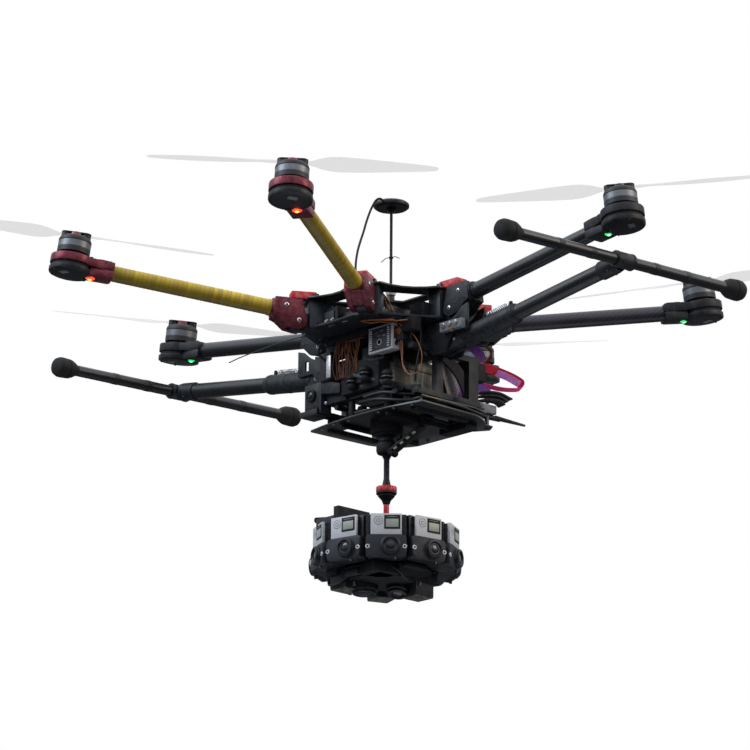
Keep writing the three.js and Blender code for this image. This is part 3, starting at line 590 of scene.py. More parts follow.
class Shape:
    """Solids in millimetres, each with a finish, that become one mesh piece."""

    def __init__(self, place=AS_IT_IS):
        self.place = place
        self.mesh = bmesh.new()
        self.finishes = []

    def take(self, part, finish, place=AS_IT_IS, bevel=0.0):
        """Adds one bmesh to the piece: edges softened, then shaded smooth except across hard edges."""
        bmesh.ops.recalc_face_normals(part, faces=part.faces)
        if bevel:
            hard = [e for e in part.edges if len(e.link_faces) == 2 and e.calc_face_angle() > SHARP]
            bmesh.ops.bevel(part, geom=hard, offset=bevel, segments=2, profile=0.6, affect="EDGES",
                            clamp_overlap=True)
        if finish not in self.finishes:
            self.finishes.append(finish)
        for face in part.faces:
            face.material_index = self.finishes.index(finish)
            face.smooth = True
        for edge in part.edges:
            edge.smooth = len(edge.link_faces) == 2 and edge.calc_face_angle() < SHARP
        part.transform(place)
        holder = bpy.data.meshes.new("part")
        part.to_mesh(holder)
        part.free()
        self.mesh.from_mesh(holder)
        bpy.data.meshes.remove(holder)

    def box(self, x, y, z, finish, bevel=0.8, place=AS_IT_IS):
        part = bmesh.new()
        bmesh.ops.create_cube(part, size=1)
        size = Matrix.Diagonal((x[1] - x[0], y[1] - y[0], z[1] - z[0], 1))
        middle = shift((x[0] + x[1]) / 2, (y[0] + y[1]) / 2, (z[0] + z[1]) / 2)
        part.transform(middle @ size)
        self.take(part, finish, place, bevel)

    def boxes(self, *rows):
        """Several boxes: each row has spans along X, Y and Z, a finish and a bevel."""
        for x, y, z, finish, bevel in rows:
            self.box(x, y, z, finish, bevel)

    def prism(self, outline, z, finish, bevel=0.8, place=AS_IT_IS):
        """An outline in X and Y, raised from one height to another."""
        rings = [[(px, py, height) for px, py in outline] for height in z]
        self.take(skinned(rings), finish, place, bevel)

    def slab(self, outline, y, finish, bevel=0.8, place=AS_IT_IS):
        """An outline in X and Z, spread from one Y to another."""
        self.prism(outline, (-y[1], -y[0]), finish, bevel, place @ spin(90, "X"))

    def turned(self, profile, finish, place=AS_IT_IS, sides=48):
        """A profile of (radius, height) points turned round the Z axis, closed where it meets the axis."""
        part = bmesh.new()
        rings = []
        for radius, height in profile:
            if radius < 1e-6:
                rings.append([part.verts.new((0, 0, height))])
            else:
                rings.append([part.verts.new(polar(radius, a, height)) for a in circle(sides)])
        for low, high in zip(rings, rings[1:]):
            for i in range(sides):
                j = (i + 1) % sides
                corners = [low[i % len(low)], low[j % len(low)], high[j % len(high)], high[i % len(high)]]
                distinct = list(dict.fromkeys(corners))
                if len(distinct) > 2:
                    part.faces.new(distinct)
        for ring in (rings[0], rings[-1]):
            if len(ring) > 2:
                part.faces.new(ring)
        self.take(part, finish, place)

    def rod(self, radius, start, end, finish, chamfer=0.5, sides=32, place=AS_IT_IS):
        """A cylinder between two points with small chamfers at its ends."""
        a, b = Vector(start), Vector(end)
        length = (b - a).length
        c = min(chamfer, radius * 0.45, length * 0.3)
        profile = [(0, 0), (radius - c, 0), (radius, c), (radius, length - c), (radius - c, length),
                   (0, length)]
        turn = (b - a).to_track_quat("Z", "Y").to_matrix().to_4x4()
        self.turned(profile, finish, place @ shift(*a) @ turn, sides)

    def cable(self, points, radius, finish, steps=6, sides=8):
        """A round wire swept along a smooth path."""
        path = smooth_path(points, steps)
        tangent = (path[1] - path[0]).normalized()
        normal = tangent.orthogonal().normalized()
        rings = []
        for centre, ahead in zip(path, directions(path)):
            normal = (tangent.rotation_difference(ahead) @ normal).normalized()
            tangent = ahead
            side = tangent.cross(normal)
            spokes = [normal * math.cos(a) + side * math.sin(a) for a in circle(sides)]
            rings.append([centre + spoke * radius for spoke in spokes])
        self.take(skinned(rings), finish)

    def ribbon(self, points, across, thickness, finish, steps=6):
        """A flat strap along a smooth path; across is the half width as a vector."""
        path = smooth_path(points, steps)
        half = Vector(across)
        rings = []
        for centre, ahead in zip(path, directions(path)):
            up = half.cross(ahead).normalized() * (thickness / 2)
            rings.append([centre + half + up, centre - half + up, centre - half - up, centre + half - up])
        self.take(skinned(rings), finish)

    def dome(self, radius, height, base, finish, place=AS_IT_IS, sides=24):
        """A cap that bulges up from a base height."""
        quarter = circle(24)[:6]
        profile = [(radius * math.cos(a), height * math.sin(a)) for a in quarter]
        self.turned([(0, 0), *profile, (0, height)], finish, place @ shift(0, 0, base), sides)

    def screw(self, at, toward, radius, metal=SILVER):
        """A button-head screw with a dark socket, facing along toward."""
        place = shift(*at) @ Vector(toward).to_track_quat("Z", "Y").to_matrix().to_4x4()
        head = [(0, -0.5), (radius, -0.5), (radius, 0.3), (radius * 0.8, 0.9), (radius * 0.5, 1.0),
                (radius * 0.42, 0.3), (0, 0.3)]
        self.turned(head, metal, place, 20)
        socket = [(0, 0.2), (radius * 0.42, 0.2), (radius * 0.40, 0.55), (0, 0.55)]
        self.turned(socket, RUBBER, place, 6)

    def finish(self, name, body, slot=None, replaces=()):
        """Makes the piece, stands it in its own frame and lets it ride on a body."""
        self.mesh.transform(Matrix.Scale(MM, 4))
        data = bpy.data.meshes.new(name)
        self.mesh.to_mesh(data)
        self.mesh.free()
        for finish in self.finishes:
            data.materials.append(finish)
        piece = bpy.data.objects.new(name, data)
        bpy.context.scene.collection.objects.link(piece)
        place = self.place.copy()
        place.translation *= MM
        piece.matrix_world = place
        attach(piece, body)
        if replaces:
            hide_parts(*replaces)


def dress(node, material, bevel):
    """Gives a CAD node its finish, softened edges and smooth rounds, without touching its mesh."""
    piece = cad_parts[node]
    piece.data.materials.clear()
    piece.data.materials.append(material)
    for polygon in piece.data.polygons:
        polygon.use_smooth = True
    weld = piece.modifiers.new("weld", "WELD")
    weld.merge_threshold = 0.00001
    soft = piece.modifiers.new("soft_edges", "BEVEL")
    soft.width = bevel * MM
    soft.segments = 2
    soft.limit_method = "ANGLE"
    soft.angle_limit = math.radians(45)
    split = piece.modifiers.new("hard_edges", "EDGE_SPLIT")
    split.split_angle = SHARP


# ---------------------------------------------------------------- the receiver's cable


def route_length(points):
    path = smooth_path(points, 12)
    return sum((b - a).length for a, b in zip(path, path[1:]))


def receiver_cable():
    data = bpy.data.curves.new("receiver_cable", "CURVE")
    data.dimensions = "3D"
    data.bevel_depth = CABLE_DIAMETER / 2 * MM
    data.bevel_resolution = 4
    path = smooth_path(CABLE_ROUTE, 4)
    line = data.splines.new("POLY")
    line.points.add(len(path) - 1)
    for point, at in zip(line.points, path):
        point.co = (*(at * MM), 1)
    data.use_fill_caps = True
    data.materials.append(BLACK_WIRE)
    cable = bpy.data.objects.new("receiver_cable", data)
    bpy.context.scene.collection.objects.link(cable)
    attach(cable, "airframe")
    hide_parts("gps_cable")
    [c * MM for c in CABLE_ROUTE[0]]
    route_length(CABLE_ROUTE) * MM


receiver_cable()


# ---------------------------------------------------------------- light and floor


def make_floor():
    """A pale floor well below the hovering drone."""
    data = bpy.data.meshes.new("floor")
    corners = [(x * FLOOR_HALF, y * FLOOR_HALF, FLOOR_Z) for x, y in ((-1, -1), (1, -1), (1, 1), (-1, 1))]
    data.from_pydata(corners, [], [(0, 1, 2, 3)])
    data.materials.append(floor_paint())
    floor = bpy.data.objects.new("floor", data)
    bpy.context.scene.collection.objects.link(floor)


def make_sky():
    """Soft light from a sky that is white behind the drone and darker low down."""
    world = bpy.data.worlds.new("sky")
    world.use_nodes = True
    bpy.context.scene.world = world
    nodes, links = world.node_tree.nodes, world.node_tree.links
    split = nodes.new("ShaderNodeSeparateXYZ")
    links.new(nodes.new("ShaderNodeTexCoord").outputs["Generated"], split.inputs[0])
    rise = nodes.new("ShaderNodeMapRange")
    links.new(split.outputs["Z"], rise.inputs["Value"])
    rise.inputs["From Min"].default_value = -1.0
    rise.inputs["From Max"].default_value = 1.0
    shade = nodes.new("ShaderNodeValToRGB")
    links.new(rise.outputs["Result"], shade.inputs["Fac"])
    set_stops(shade, SKY_STOPS)
    seen = nodes.new("ShaderNodeMix")
    seen.data_type = "RGBA"
    links.new(nodes.new("ShaderNodeLightPath").outputs["Is Camera Ray"], seen.inputs[0])
    links.new(shade.outputs["Color"], seen.inputs[6])
    seen.inputs[7].default_value = (1, 1, 1, 1)
    links.new(seen.outputs[2], nodes["Background"].inputs["Color"])
    bpy.context.scene.view_settings.view_transform = "Standard"


def make_lamp(name, azimuth, elevation, distance, size, power, color):
    """A soft square lamp round the drone, aimed at its middle."""
    data = bpy.data.lights.new(name, "AREA")
    data.size = size
    data.energy = power
    data.color = color
    lamp = bpy.data.objects.new(name, data)
    bpy.context.scene.collection.objects.link(lamp)
    back = outward(azimuth, elevation)
    lamp.location = LAMP_TARGET + back * distance
    lamp.rotation_mode = "QUATERNION"
    lamp.rotation_quaternion = back.to_track_quat("Z", "Y")


make_floor()
make_sky()
make_lamp("key_left", -25, 35, 3.0, 1.6, 40, (0.80, 0.90, 1.0))
make_lamp("warm_right", 118, 22, 3.0, 1.4, 24, (1.0, 0.84, 0.66))


# ---------------------------------------------------------------- arms


def arm_frame(number):
    """An arm's own frame: its fold hinge at the origin, and X out along the rising arm."""
    return spin(60 * number) @ shift(HINGE_R, 0, HINGE_Z) @ Matrix.Rotation(-DIHEDRAL, 4, "Y")


def motor_frame(number):
    return arm_frame(number) @ shift(MOTOR_X, 0, MOTOR_FOOT)


def propeller_frame(number):
    return motor_frame(number) @ Matrix.Rotation(BLADE_AZIMUTH - math.radians(60 * number), 4, "Z")


def arm_slot(front):
    return "maroon_anodised" if front else "moulded_black"


def arm_tube(number, name, front):
    """The tube skin: wound tape on the front arms, bare carbon on the rest, and a clamp band at its root."""
    shape = Shape(arm_frame(number))
    end = MOTOR_X - 34
    along = shift(0, 0, TUBE_AXIS) @ AXIS_X
    if front:
        profile = [(0, TUBE_START)]
        x = TUBE_START
        while x < end:
            stop = min(x + TAPE_TURN, end)
            profile += [(TUBE_R - 0.12, x), (TUBE_R + 0.12, stop - 0.4)]
            x = stop
        profile.append((0, end))
        shape.turned(profile, YELLOW, along)
    else:
        skin = TUBE_VIOLET if name == "rear_left" else TUBE_CARBON
        shape.turned(disc(TUBE_R, TUBE_START, end), skin, along)
    band = YELLOW if front else SATIN_BLACK
    clamp = [(TUBE_R - 0.5, 40.4), (TUBE_R + 0.7, 40.8), (TUBE_R + 0.7, 44.6), (TUBE_R - 0.5, 45)]
    shape.turned(clamp, band, along)
    slot = "yellow_wrap" if front else "carbon_tube"
    shape.finish(f"{name}_tube_skin", f"{name}_arm", slot, [f"{name}_tube"])


def knuckle(number, name, front):
    """A fork over the frame's lug, with the tube's collar on its outer end."""
    metal = MAROON if front else BLACK
    shape = Shape(arm_frame(number))
    cheek = [(-0.6, 30.2), (22, 29.3), (38, 27.3), (38, 0.8), (30, -1.8), (17, -10.8), (8.5, -11.4),
             (3, -11.9), (-3, -11.6), (-8, -8.5), (-11, -4), (-11.8, 1), (-9.6, 6.4)]
    middle = [(-0.2, 29.6), (22, 28.8), (37.4, 26.8), (37.4, 1.4), (29.8, -1.2), (17, -10), (13.8, -10.2),
              (13.8, 15.3), (-5.2, 15.3)]
    rib = [(2, 9), (13, 3.4), (32, 9.5), (32, 8), (13, 1.6), (1.5, 7)]
    shape.slab(middle, (-FORK_HALF - 0.2, FORK_HALF + 0.2), metal, 0.6)
    along = shift(0, 0, TUBE_AXIS) @ AXIS_X
    shape.turned([(11.2, 20), (14.2, 20), (14.2, 38.4), (13.4, 39.8), (12.2, 40), (11.2, 40)], metal, along)
    for side in (-1, 1):
        shape.slab(cheek, span(side, FORK_HALF, KNUCKLE_HALF), metal, 1.3)
        shape.slab(rib, span(side, KNUCKLE_HALF - 0.3, KNUCKLE_HALF + 0.35), metal, 0.15)
        face = side * KNUCKLE_HALF
        shape.screw((0, face, 0), (0, side, 0), 3.4)
        shape.screw((20.8, face, 18.2), (0, side, 0), 3.2)
        shape.screw((31, face, 4.5), (0, side, 0), 1.7, DARK_STEEL)
    shape.finish(f"{name}_knuckle_body", f"{name}_arm", arm_slot(front), [f"{name}_knuckle"])


def stator_coils(shape):
    """Copper windings that show in the gap under the bell."""
    for degrees in range(0, 360, 30):
        shape.box((13, STATOR_R - 1.6), (-3, 3), (RING_TOP + 0.6, BELL_BOTTOM + 1.2), WINDING, 1.2,
                  spin(degrees))


def motor_mount(number, name, front):
    """Speed controller cover, mounting ring with its tongue and tube clamp, stator and status light."""
    metal = MAROON if front else BLACK
    shape = Shape(motor_frame(number))
    cover = [(0, 0.2), (14, 0), (COVER_R - 2.2, 0), (COVER_R - 0.5, 0.7), (COVER_R, 2),
             (COVER_R, COVER_TOP - 1), (COVER_R - 0.8, COVER_TOP), (0, COVER_TOP)]
    shape.turned(cover, SATIN_BLACK, sides=64)
    shape.turned(disc(WAIST_R, COVER_TOP - 0.5, RING_BOTTOM + 0.5), RUBBER, sides=64)
    ring_outline = [polar(COVER_R, math.radians(a)) for a in range(-138, 139, 6)]
    ring_outline += [(-26, 19.5), (-33, 16.8), (-44, 15), (-44, -15), (-33, -16.8), (-26, -19.5)]
    shape.prism(ring_outline, (RING_BOTTOM, RING_TOP), metal, 1.1)
    top_clamp = [(-58, 13.6), (-58, 25), (-50, 26), (-38, 26.2), (-27, 24.6), (-24, 23), (-24, 13.6)]
    shape.slab(top_clamp, (-15, 15), metal, 1.2)
    low_clamp = [(-58, 13.2), (-58, 3), (-54, 1.6), (-33, 0.9), (-25, 0.9), (-25, 13.2)]
    shape.slab(low_clamp, (-14.4, 14.4), MAROON if front else SATIN_BLACK, 1.2)
    shape.turned(disc(STATOR_R - 2, RING_TOP - 0.5, 44), DARK_STEEL)
    stator_coils(shape)
    for side in (-1, 1):
        shape.screw((-52, side * 11, 25.8), (0, 0, 1), 1.6, DARK_STEEL)
        shape.screw((-30, side * 12, 25.0), (0, 0, 1), 1.6, DARK_STEEL)
    grommet = [(0, -1), (3.4, -1), (3.4, 3), (2.6, 4), (0, 4)]
    shape.turned(grommet, RUBBER, shift(-25, 8, RING_TOP), 20)
    for degrees in (150, 210, 30, 330):
        at = polar(COVER_R - 3.4, math.radians(degrees), -0.1)
        shape.screw(at, (0, 0, -1), 1.5, DARK_STEEL)
    shape.dome(2.2, 1.8, 0, RUBBER, shift(*polar(COVER_R - 6, math.radians(200)), 0.2) @ spin(180, "X"))
    shape.box((6, 15), (-6.5, 6.5), (-0.25, 0.1), GREY, 0.1, spin(35))
    shape.box((-29, -24.5), (3, 9), (RING_BOTTOM - 4.2, RING_BOTTOM + 0.2), BEIGE, 0.5)
    status_light(shape, front)
    shape.finish(f"{name}_motor_housing", f"{name}_arm", arm_slot(front), [f"{name}_motor_mount"])


def status_light(shape, front):
    """A rounded lamp with a brighter core, at the cover's edge towards the frame."""
    glow = LED_RED if front else LED_GREEN
    core = LED_RED_CORE if front else LED_GREEN_CORE
    at = shift(-COVER_R + 1.2, 0, 2.0)
    size = 7.4 if front else 6.0
    dome = [(0, -0.50), (0.55, -0.44), (0.9, -0.2), (1, 0.1), (0.9, 0.35), (0, 0.45)]
    shape.turned([(size * r, size * z) for r, z in dome], glow, at, 28)
    tip = [(0, -0.62), (0.34, -0.56), (0.44, -0.40), (0, -0.1)]
    shape.turned([(size * r, size * z) for r, z in tip], core, at, 20)


def motor_bell(number, name, front):
    """The bell with its flux ring, the shaft, the hub plates and the blade pins."""
    shape = Shape(propeller_frame(number))
    inner = STATOR_R + 0.8
    wall = [(inner, BELL_SHOULDER), (inner, BELL_BOTTOM), (BELL_R - 0.4, BELL_BOTTOM),
            (BELL_R, BELL_BOTTOM + 0.5), (BELL_R, 35.2), (BELL_R - 0.5, 35.5), (BELL_R - 0.5, 35.8),
            (BELL_R - 0.1, 36.1), (BELL_R - 0.1, 44.4), (BELL_R - 0.5, 44.8), (BELL_R - 0.5, 45.1),
            (BELL_R, 45.4), (BELL_R, 47.6), (BELL_R - 0.8, 50.0), (BELL_R - 2.6, 52.0), (BELL_R - 4.6, 53.0),
            (inner - 3, 53.4), (inner - 3, BELL_SHOULDER)]
    shape.turned([*wall, wall[0]], BELL, sides=64)
    cap = [(0, BELL_SHOULDER), (18, BELL_SHOULDER), (18, 53.2), (9, 53.6), (6.2, 54), (5.5, 57), (0, 57)]
    shape.turned(cap, SATIN_BLACK, sides=64)
    shape.turned(disc(2.5, 30, 51), SILVER, sides=20)
    hub = HUB_RED if front or name == "mid_right" else DARK_STEEL
    half_round = [polar(6.5, math.radians(a)) for a in range(-90, 91, 15)]
    plate = [(side * (BLADE_PIVOT_R + x), side * y) for side in (1, -1) for x, y in half_round]
    for low in (BELL_TOP, HUB_TOP - 2):
        shape.prism(plate, (low, low + 2), SATIN_BLACK, 0.35)
    for side in (-1, 1):
        x = side * BLADE_PIVOT_R
        shape.rod(2.0, (x, 0, BELL_TOP + 1), (x, 0, HUB_TOP - 0.6), DARK_STEEL)
        shape.screw((x, 0, HUB_TOP - 0.9), (0, 0, 1), 2.8, DARK_STEEL)
    dome = [(0, -6.4), (8.6, -6.4), (8.8, -1.2), (7.4, 0), (0, 0)]
    shape.turned(dome, hub, shift(0, 0, HUB_TOP), 40)
    shape.finish(f"{name}_motor_bell", f"{name}_rotor", "motor_black", [f"{name}_rotor"])


# Blade sections: distance out from the shaft, chord, thickness, twist in degrees
BLADE_SECTIONS = [
    (18, 8, 3.6, 0), (22, 10, 3.7, 4), (26, 12.5, 3.8, 8), (33, 17.5, 3.85, 15), (40, 21.5, 3.8, 19.5),
    (50, 26.3, 3.5, 20), (62, 29, 3.2, 18), (78, 29.2, 2.9, 15.6), (95, 28, 2.6, 13.5), (118, 25.3, 2.3, 11),
    (140, 22, 2, 9), (160, 18.2, 1.7, 8), (175, 15, 1.5, 7.5), (184, 11.5, 1.25, 7.2), (189, 8, 1.05, 7),
    (PROP_R, 4.5, 0.9, 7),
]


def blade_ring(x, chord, thickness, twist_degrees, handed):
    """One aerofoil section: rounded nose, thin tail, flat underside."""
    twist = math.radians(twist_degrees)
    ring = []
    for t in circle(20):
        across = -0.5 * math.cos(t)
        share = across + 0.5
        camber = 0.30 * math.sin(math.pi * share)
        half = 0.62 * math.sqrt(max(share, 0)) * (1 - share) + 0.10 * (1 - share) + 0.03
        up = camber + (half if math.sin(t) > 0 else -half) * abs(math.sin(t)) ** 0.3
        y, z = across * chord, up * thickness * 0.9
        turned_y = y * math.cos(twist) - z * math.sin(twist)
        ring.append((x, handed * turned_y, BLADE_MID_Z + y * math.sin(twist) + z * math.cos(twist)))
    return ring


def blade(number, name, letter):
    """A lofted blade, with a bushing round its fold pin; neighbouring rotors are handed opposite ways."""
    handed = 1 if number % 2 == 0 else -1
    turn = 0 if letter == "a" else 180
    shape = Shape(propeller_frame(number) @ spin(turn))
    shape.take(skinned([blade_ring(*section, handed) for section in BLADE_SECTIONS]), BLADE)
    bushing = washer(2.6, 6.3, BLADE_MID_Z - 2, BLADE_MID_Z + 2)
    shape.turned(bushing, SATIN_BLACK, shift(BLADE_PIVOT_R, 0, 0), 32)
    node = f"{name}_blade_{letter}"
    shape.finish(f"{node}_foil", node, "blade_smoke", [node])


def clip(number, name):
    """The red arm latch: a flat-topped block with grip ridges, rounded at its pivot."""
    shape = Shape(spin(60 * number))
    z = CLIP_PIVOT_Z
    low = z - 4.2
    lever = [(107, low), (141.4, low), (142, low + 0.8), (142, z + 5.2), (141.2, z + 6.1), (108, z + 6.2),
             (105.4, z + 4), (104, z), (105, z - 3)]
    shape.slab(lever, (-9, 9), RED, 0.7)
    for x in (127, 130.5, 134):
        shape.box((x, x + 1.4), (-6.6, 6.6), (z + 5.6, z + 6.3), RED, 0.3)
    shape.slab([(111, low + 1), (138, low + 1), (138, z + 3.4), (111, z + 3.4)], (-9.15, 9.15), RED, 0.5)
    shape.finish(f"{name}_latch", f"{name}_clip", "red_plastic", [f"{name}_clip"])


def root_details(number, name):
    """The side and plate screws at an arm's root on the frame."""
    shape = Shape(spin(60 * number))
    for side in (-1, 1):
        shape.screw((107, side * ROOT_HALF, 381), (0, side, 0), 1.7, DARK_STEEL)
        shape.screw((107, side * ROOT_HALF, 405), (0, side, 0), 1.7, DARK_STEEL)
        shape.screw((112, side * 15, 416.5), (0, 0, 1), 2.4, DARK_STEEL)
        shape.screw((112, side * 15, 372), (0, 0, -1), 2.4, DARK_STEEL)
    shape.finish(f"{name}_root_screws", "airframe")


for arm_number, arm_name in enumerate(ARM_NAMES):
    is_front = arm_name in FRONT_ARMS
    arm_tube(arm_number, arm_name, is_front)
    knuckle(arm_number, arm_name, is_front)
    motor_mount(arm_number, arm_name, is_front)
    motor_bell(arm_number, arm_name, is_front)
    blade(arm_number, arm_name, "a")
    blade(arm_number, arm_name, "b")
    clip(arm_number, arm_name)
    root_details(arm_number, arm_name)


# ---------------------------------------------------------------- landing gear


def leg_frame(side):
    """A raised leg's frame: its pivot at the origin, and X along the leg."""
    turn = AS_IT_IS if side > 0 else spin(180)
    return turn @ shift(*GEAR_PIVOT) @ Matrix.Rotation(-LEG_TILT, 4, "Y")


def spring(shape, start, end, radius, turns, gauge):
    """A close-wound tension spring with a straight hook at each end."""
    a, b = Vector(start), Vector(end)
    axis = (b - a).normalized()
    side = axis.orthogonal().normalized()
    other = axis.cross(side)
    count = turns * 10
    coil = [a]
    for i in range(count + 1):
        t = 0.12 + 0.76 * i / count
        angle = 2 * math.pi * turns * i / count
        coil.append(a.lerp(b, t) + side * (radius * math.cos(angle)) + other * (radius * math.sin(angle)))
    coil.append(b)
    shape.cable(coil, gauge, SILVER, 1, 6)


def leg(name, side):
    """Root, sleeve, tube, tee and tension spring of a landing leg, with X out along the leg."""
    shape = Shape(leg_frame(side))
    root = [polar(11.5, math.radians(a)) for a in range(100, 261, 16)]
    root += [(10, -10.5), (44, -10.5), (46, -9), (46, 9), (44, 10.5), (10, 10.5)]
    for low in (-13, 4.5):
        shape.slab(root, (low, low + 8.5), BLACK, 1.0)
    core = [(x * 0.93 if x < 0 else x, z * 0.86) for x, z in root]
    shape.slab(core, (-5, 5), SATIN_BLACK, 0.6)
    sleeve = [(0, 41), (12.4, 41), (14, 42.5), (14, 139), (13.2, 141), (12, 142.6), (11.6, 144.5), (0, 144.5)]
    shape.turned(sleeve, BLACK, AXIS_X, 56)
    for x in (52, 96, 133):
        shape.turned([(13.7, x), (14.35, x + 0.4), (14.35, x + 2.4), (13.7, x + 2.8)], BLACK, AXIS_X, 56)
    shape.turned(disc(11, 140, LEG_LENGTH - 8), LEG_CARBON, AXIS_X, 56)
    socket = [(0, -40), (12.4, -40), (13, -38.5), (13, -14), (12, -7), (0, -7)]
    shape.turned(socket, BLACK, shift(LEG_LENGTH, 0, 0) @ AXIS_X, 56)
    cross = skid_line(side)
    tee = [(8.3, -17), (10.4, -17), (11, -16), (11, 16), (10.4, 17), (8.3, 17), (8.3, -17)]
    shape.turned(tee, BLACK, cross, 56)
    for y in (-14, 14):
        shape.turned([(10.8, y - 1.6), (11.5, y - 1.2), (11.5, y + 1.2), (10.8, y + 1.6)], SATIN_BLACK, cross)
    for face in (-1, 1):
        shape.screw((LEG_LENGTH - 22, 9 * face, -9.2), (0, 0.69 * face, -0.72), 1.8, DARK_STEEL)
        shape.screw((30, 13 * face, 0), (0, face, 0), 2.6)
        shape.screw((38, 13 * face, 5), (0, face, 0), 1.6, DARK_STEEL)
    spring(shape, (80, 0, 17.2), (130, 0, 17.2), 3.0, 11, 0.85)
    for x in (80, 131):
        shape.rod(2.6, (x, 0, 12), (x, 0, 20), RUBBER)
    shape.finish(f"leg_{name}_tube", f"leg_{name}", "moulded_black", [f"leg_{name}"])


def skid_line(side):
    """In a leg's frame: the line of its skid, which is level fore and aft but for a small pitch."""
    return shift(LEG_LENGTH, 0, 0) @ Matrix.Rotation(SKID_PITCH * side, 4, "X") @ AXIS_Y


def skid(name, side):
    """The skid's tube, its rubber feet and four sleeves along it, with Z along the skid."""
    shape = Shape(leg_frame(side) @ skid_line(side))
    shape.turned(disc(7.8, -SKID_HALF + 6, SKID_HALF - 6), LEG_CARBON)
    foot = [(0, 0), (8, 0.3), (12.2, 2.6), (14.3, 7.5), (14.5, 12), (14.2, 17.4), (13.2, 18.2), (13.2, 19.6),
            (14.1, 20.4), (13.7, 25), (11.4, 31), (8.6, 36), (7.9, 38.5), (0, 38.5)]
    for place in (shift(0, 0, -SKID_HALF), shift(0, 0, SKID_HALF) @ spin(180, "X")):
        shape.turned(foot, RUBBER, place, 40)
    for z in (-60, 60, 120, -120):
        shape.turned([(7.6, z - 5), (8.2, z - 4.6), (8.2, z + 4.6), (7.6, z + 5)], SATIN_BLACK, sides=40)
    shape.finish(f"skid_{name}_bar", f"leg_{name}", "carbon_tube", [f"skid_{name}"])


for leg_name, leg_side in (("left", 1), ("right", -1)):
    leg(leg_name, leg_side)
    skid(leg_name, leg_side)


# ---------------------------------------------------------------- centre frame


DRESSED_NODES = [
    ("top_plate", PLATE_CARBON, 0.4), ("frame_core", BLUE_BLACK, 0.7),
    ("flight_controller", SATIN_BLACK, 1.2), ("gear_beam", BLACK, 0.7), ("battery", BATTERY, 1.5),
    ("battery_tray", PLATE_CARBON, 0.5), ("payload_plate", PLATE_CARBON, 0.5), ("payload_rod", BLACK, 0.4),
    ("gps_mast", SATIN_BLACK, 0.3), ("gps_puck", SATIN_BLACK, 0.4),
]
for node_name, node_finish, node_bevel in DRESSED_NODES:
    dress(node_name, node_finish, node_bevel)


# ---------------------------------------------------------------- drop rod and camera rig


def release_knob():
    """A fluted red wheel over a dark tapered collar, turning round the rod."""
    shape = Shape(shift(0, ROD_Y, 0))
    rim = [polar(14.3 - 0.9 * max(0.0, math.cos(10 * a)) ** 3, a) for a in circle(60)]
    shape.prism(rim, (150.2, 158.2), KNOB_RED, 0.9)
    flange = [(3.6, 146.5), (13.4, 147.6), (14.2, 148.4), (14.2, 150), (3.6, 150), (3.6, 146.5)]
    shape.turned(flange, SATIN_BLACK)
    collar = [(3.6, 138.6), (6, 138.6), (7.2, 140), (11.6, 145), (11.6, 147), (3.6, 147), (3.6, 138.6)]
    shape.turned(collar, RUBBER)
    shape.finish("release_wheel", "quick_release_knob", "red_anodised", ["quick_release_knob"])


def camera_body(shape, place):
    """One action camera in its holder, facing +X: black housing with its lens below a silver face."""
    housing = [(98.6, 27.6), (88, 28), (68, 21), (68, -21), (88, -28), (98.6, -27.6)]
    shape.prism(housing, (37.5, 66.8), SATIN_BLACK, 2.6, place)
    face = [(-z, y) for y, z in rounded_rectangle(27.8, 15.8, 9)]
    shape.prism(face, (94, 99.6), HOUSING, 1.6, place @ shift(0, 0, 51.8) @ AXIS_X)
    shape.box((70, 96.6), (-20.6, 20.6), (66, 96), SATIN_BLACK, 1.5, place)
    shape.box((94, 98.2), (-21, 21), (67.4, 96.5), CAMERA_SHELL, 0.7, place)
    camera_face_marks(shape, place)
    camera_lens(shape, place @ shift(0, 6, 52) @ AXIS_X)
    eyelet = [(1.4, 98.4), (2.9, 98.4), (3.1, 99.6), (2.7, 100.4), (1.8, 100.4), (1.4, 99.6), (1.4, 98.4)]
    for side in (-1, 1):
        hole = place @ shift(0, side * 25, 50.5) @ AXIS_X
        shape.turned(eyelet, WHITE, hole, 24)
        shape.turned(disc(1.45, 98.6, 99.8), RUBBER, hole, 20)
        shape.box((78, 90), span(side, 20, 27.4), (60, 97), SATIN_BLACK, 0.8, place)
    shape.box((86, 97.5), (-26, -19), (62, 68), RUBBER, 1.5, place)
    shape.rod(2.2, (97, 12, 36.6), (97, 12, 33), DARK_STEEL, 0.5, 16, place)


def camera_face_marks(shape, place):
    """The round mode button and the small display on a camera's silver face."""
    button = place @ shift(0, -10.7, 86.5) @ AXIS_X
    shape.turned(washer(5.4, 6.0, 98.0, 98.45), GREY, button, 40)
    shape.turned([(0, 98.0), (5.2, 98.0), (5.2, 98.35), (0, 98.6)], CAMERA_SHELL, button, 40)
    shape.turned(washer(2.0, 2.7, 98.4, 98.72), GREY, button, 24)
    shape.box((98, 98.7), (-2.8, 18.9), (74.9, 94.2), RUBBER, 0.5, place)
    shape.box((98.3, 98.95), (-0.5, 16.6), (77.3, 88.8), SCREEN, 0.3, place)
    shape.box((98.3, 98.85), (0.8, 15.2), (91.2, 92.2), GREY, 0.1, place)


def camera_lens(shape, place):
    """Stepped black barrel, bezel and domed glass, along +Z from the camera's face."""
    barrel = [(0, 97), (13.6, 97), (13.6, 101.5), (12.6, 102.2), (12.6, 104.6), (11.9, 105.4), (10, 105.7),
              (9.4, 104.4), (7, 102.6), (0, 102.6)]
    shape.turned(barrel, SATIN_BLACK, place, 48)
    shape.turned(washer(6.6, 7.4, 102.4, 103.5), DARK_STEEL, place, 40)
    shape.dome(6.5, 1.6, 102.6, GLASS, place, 32)


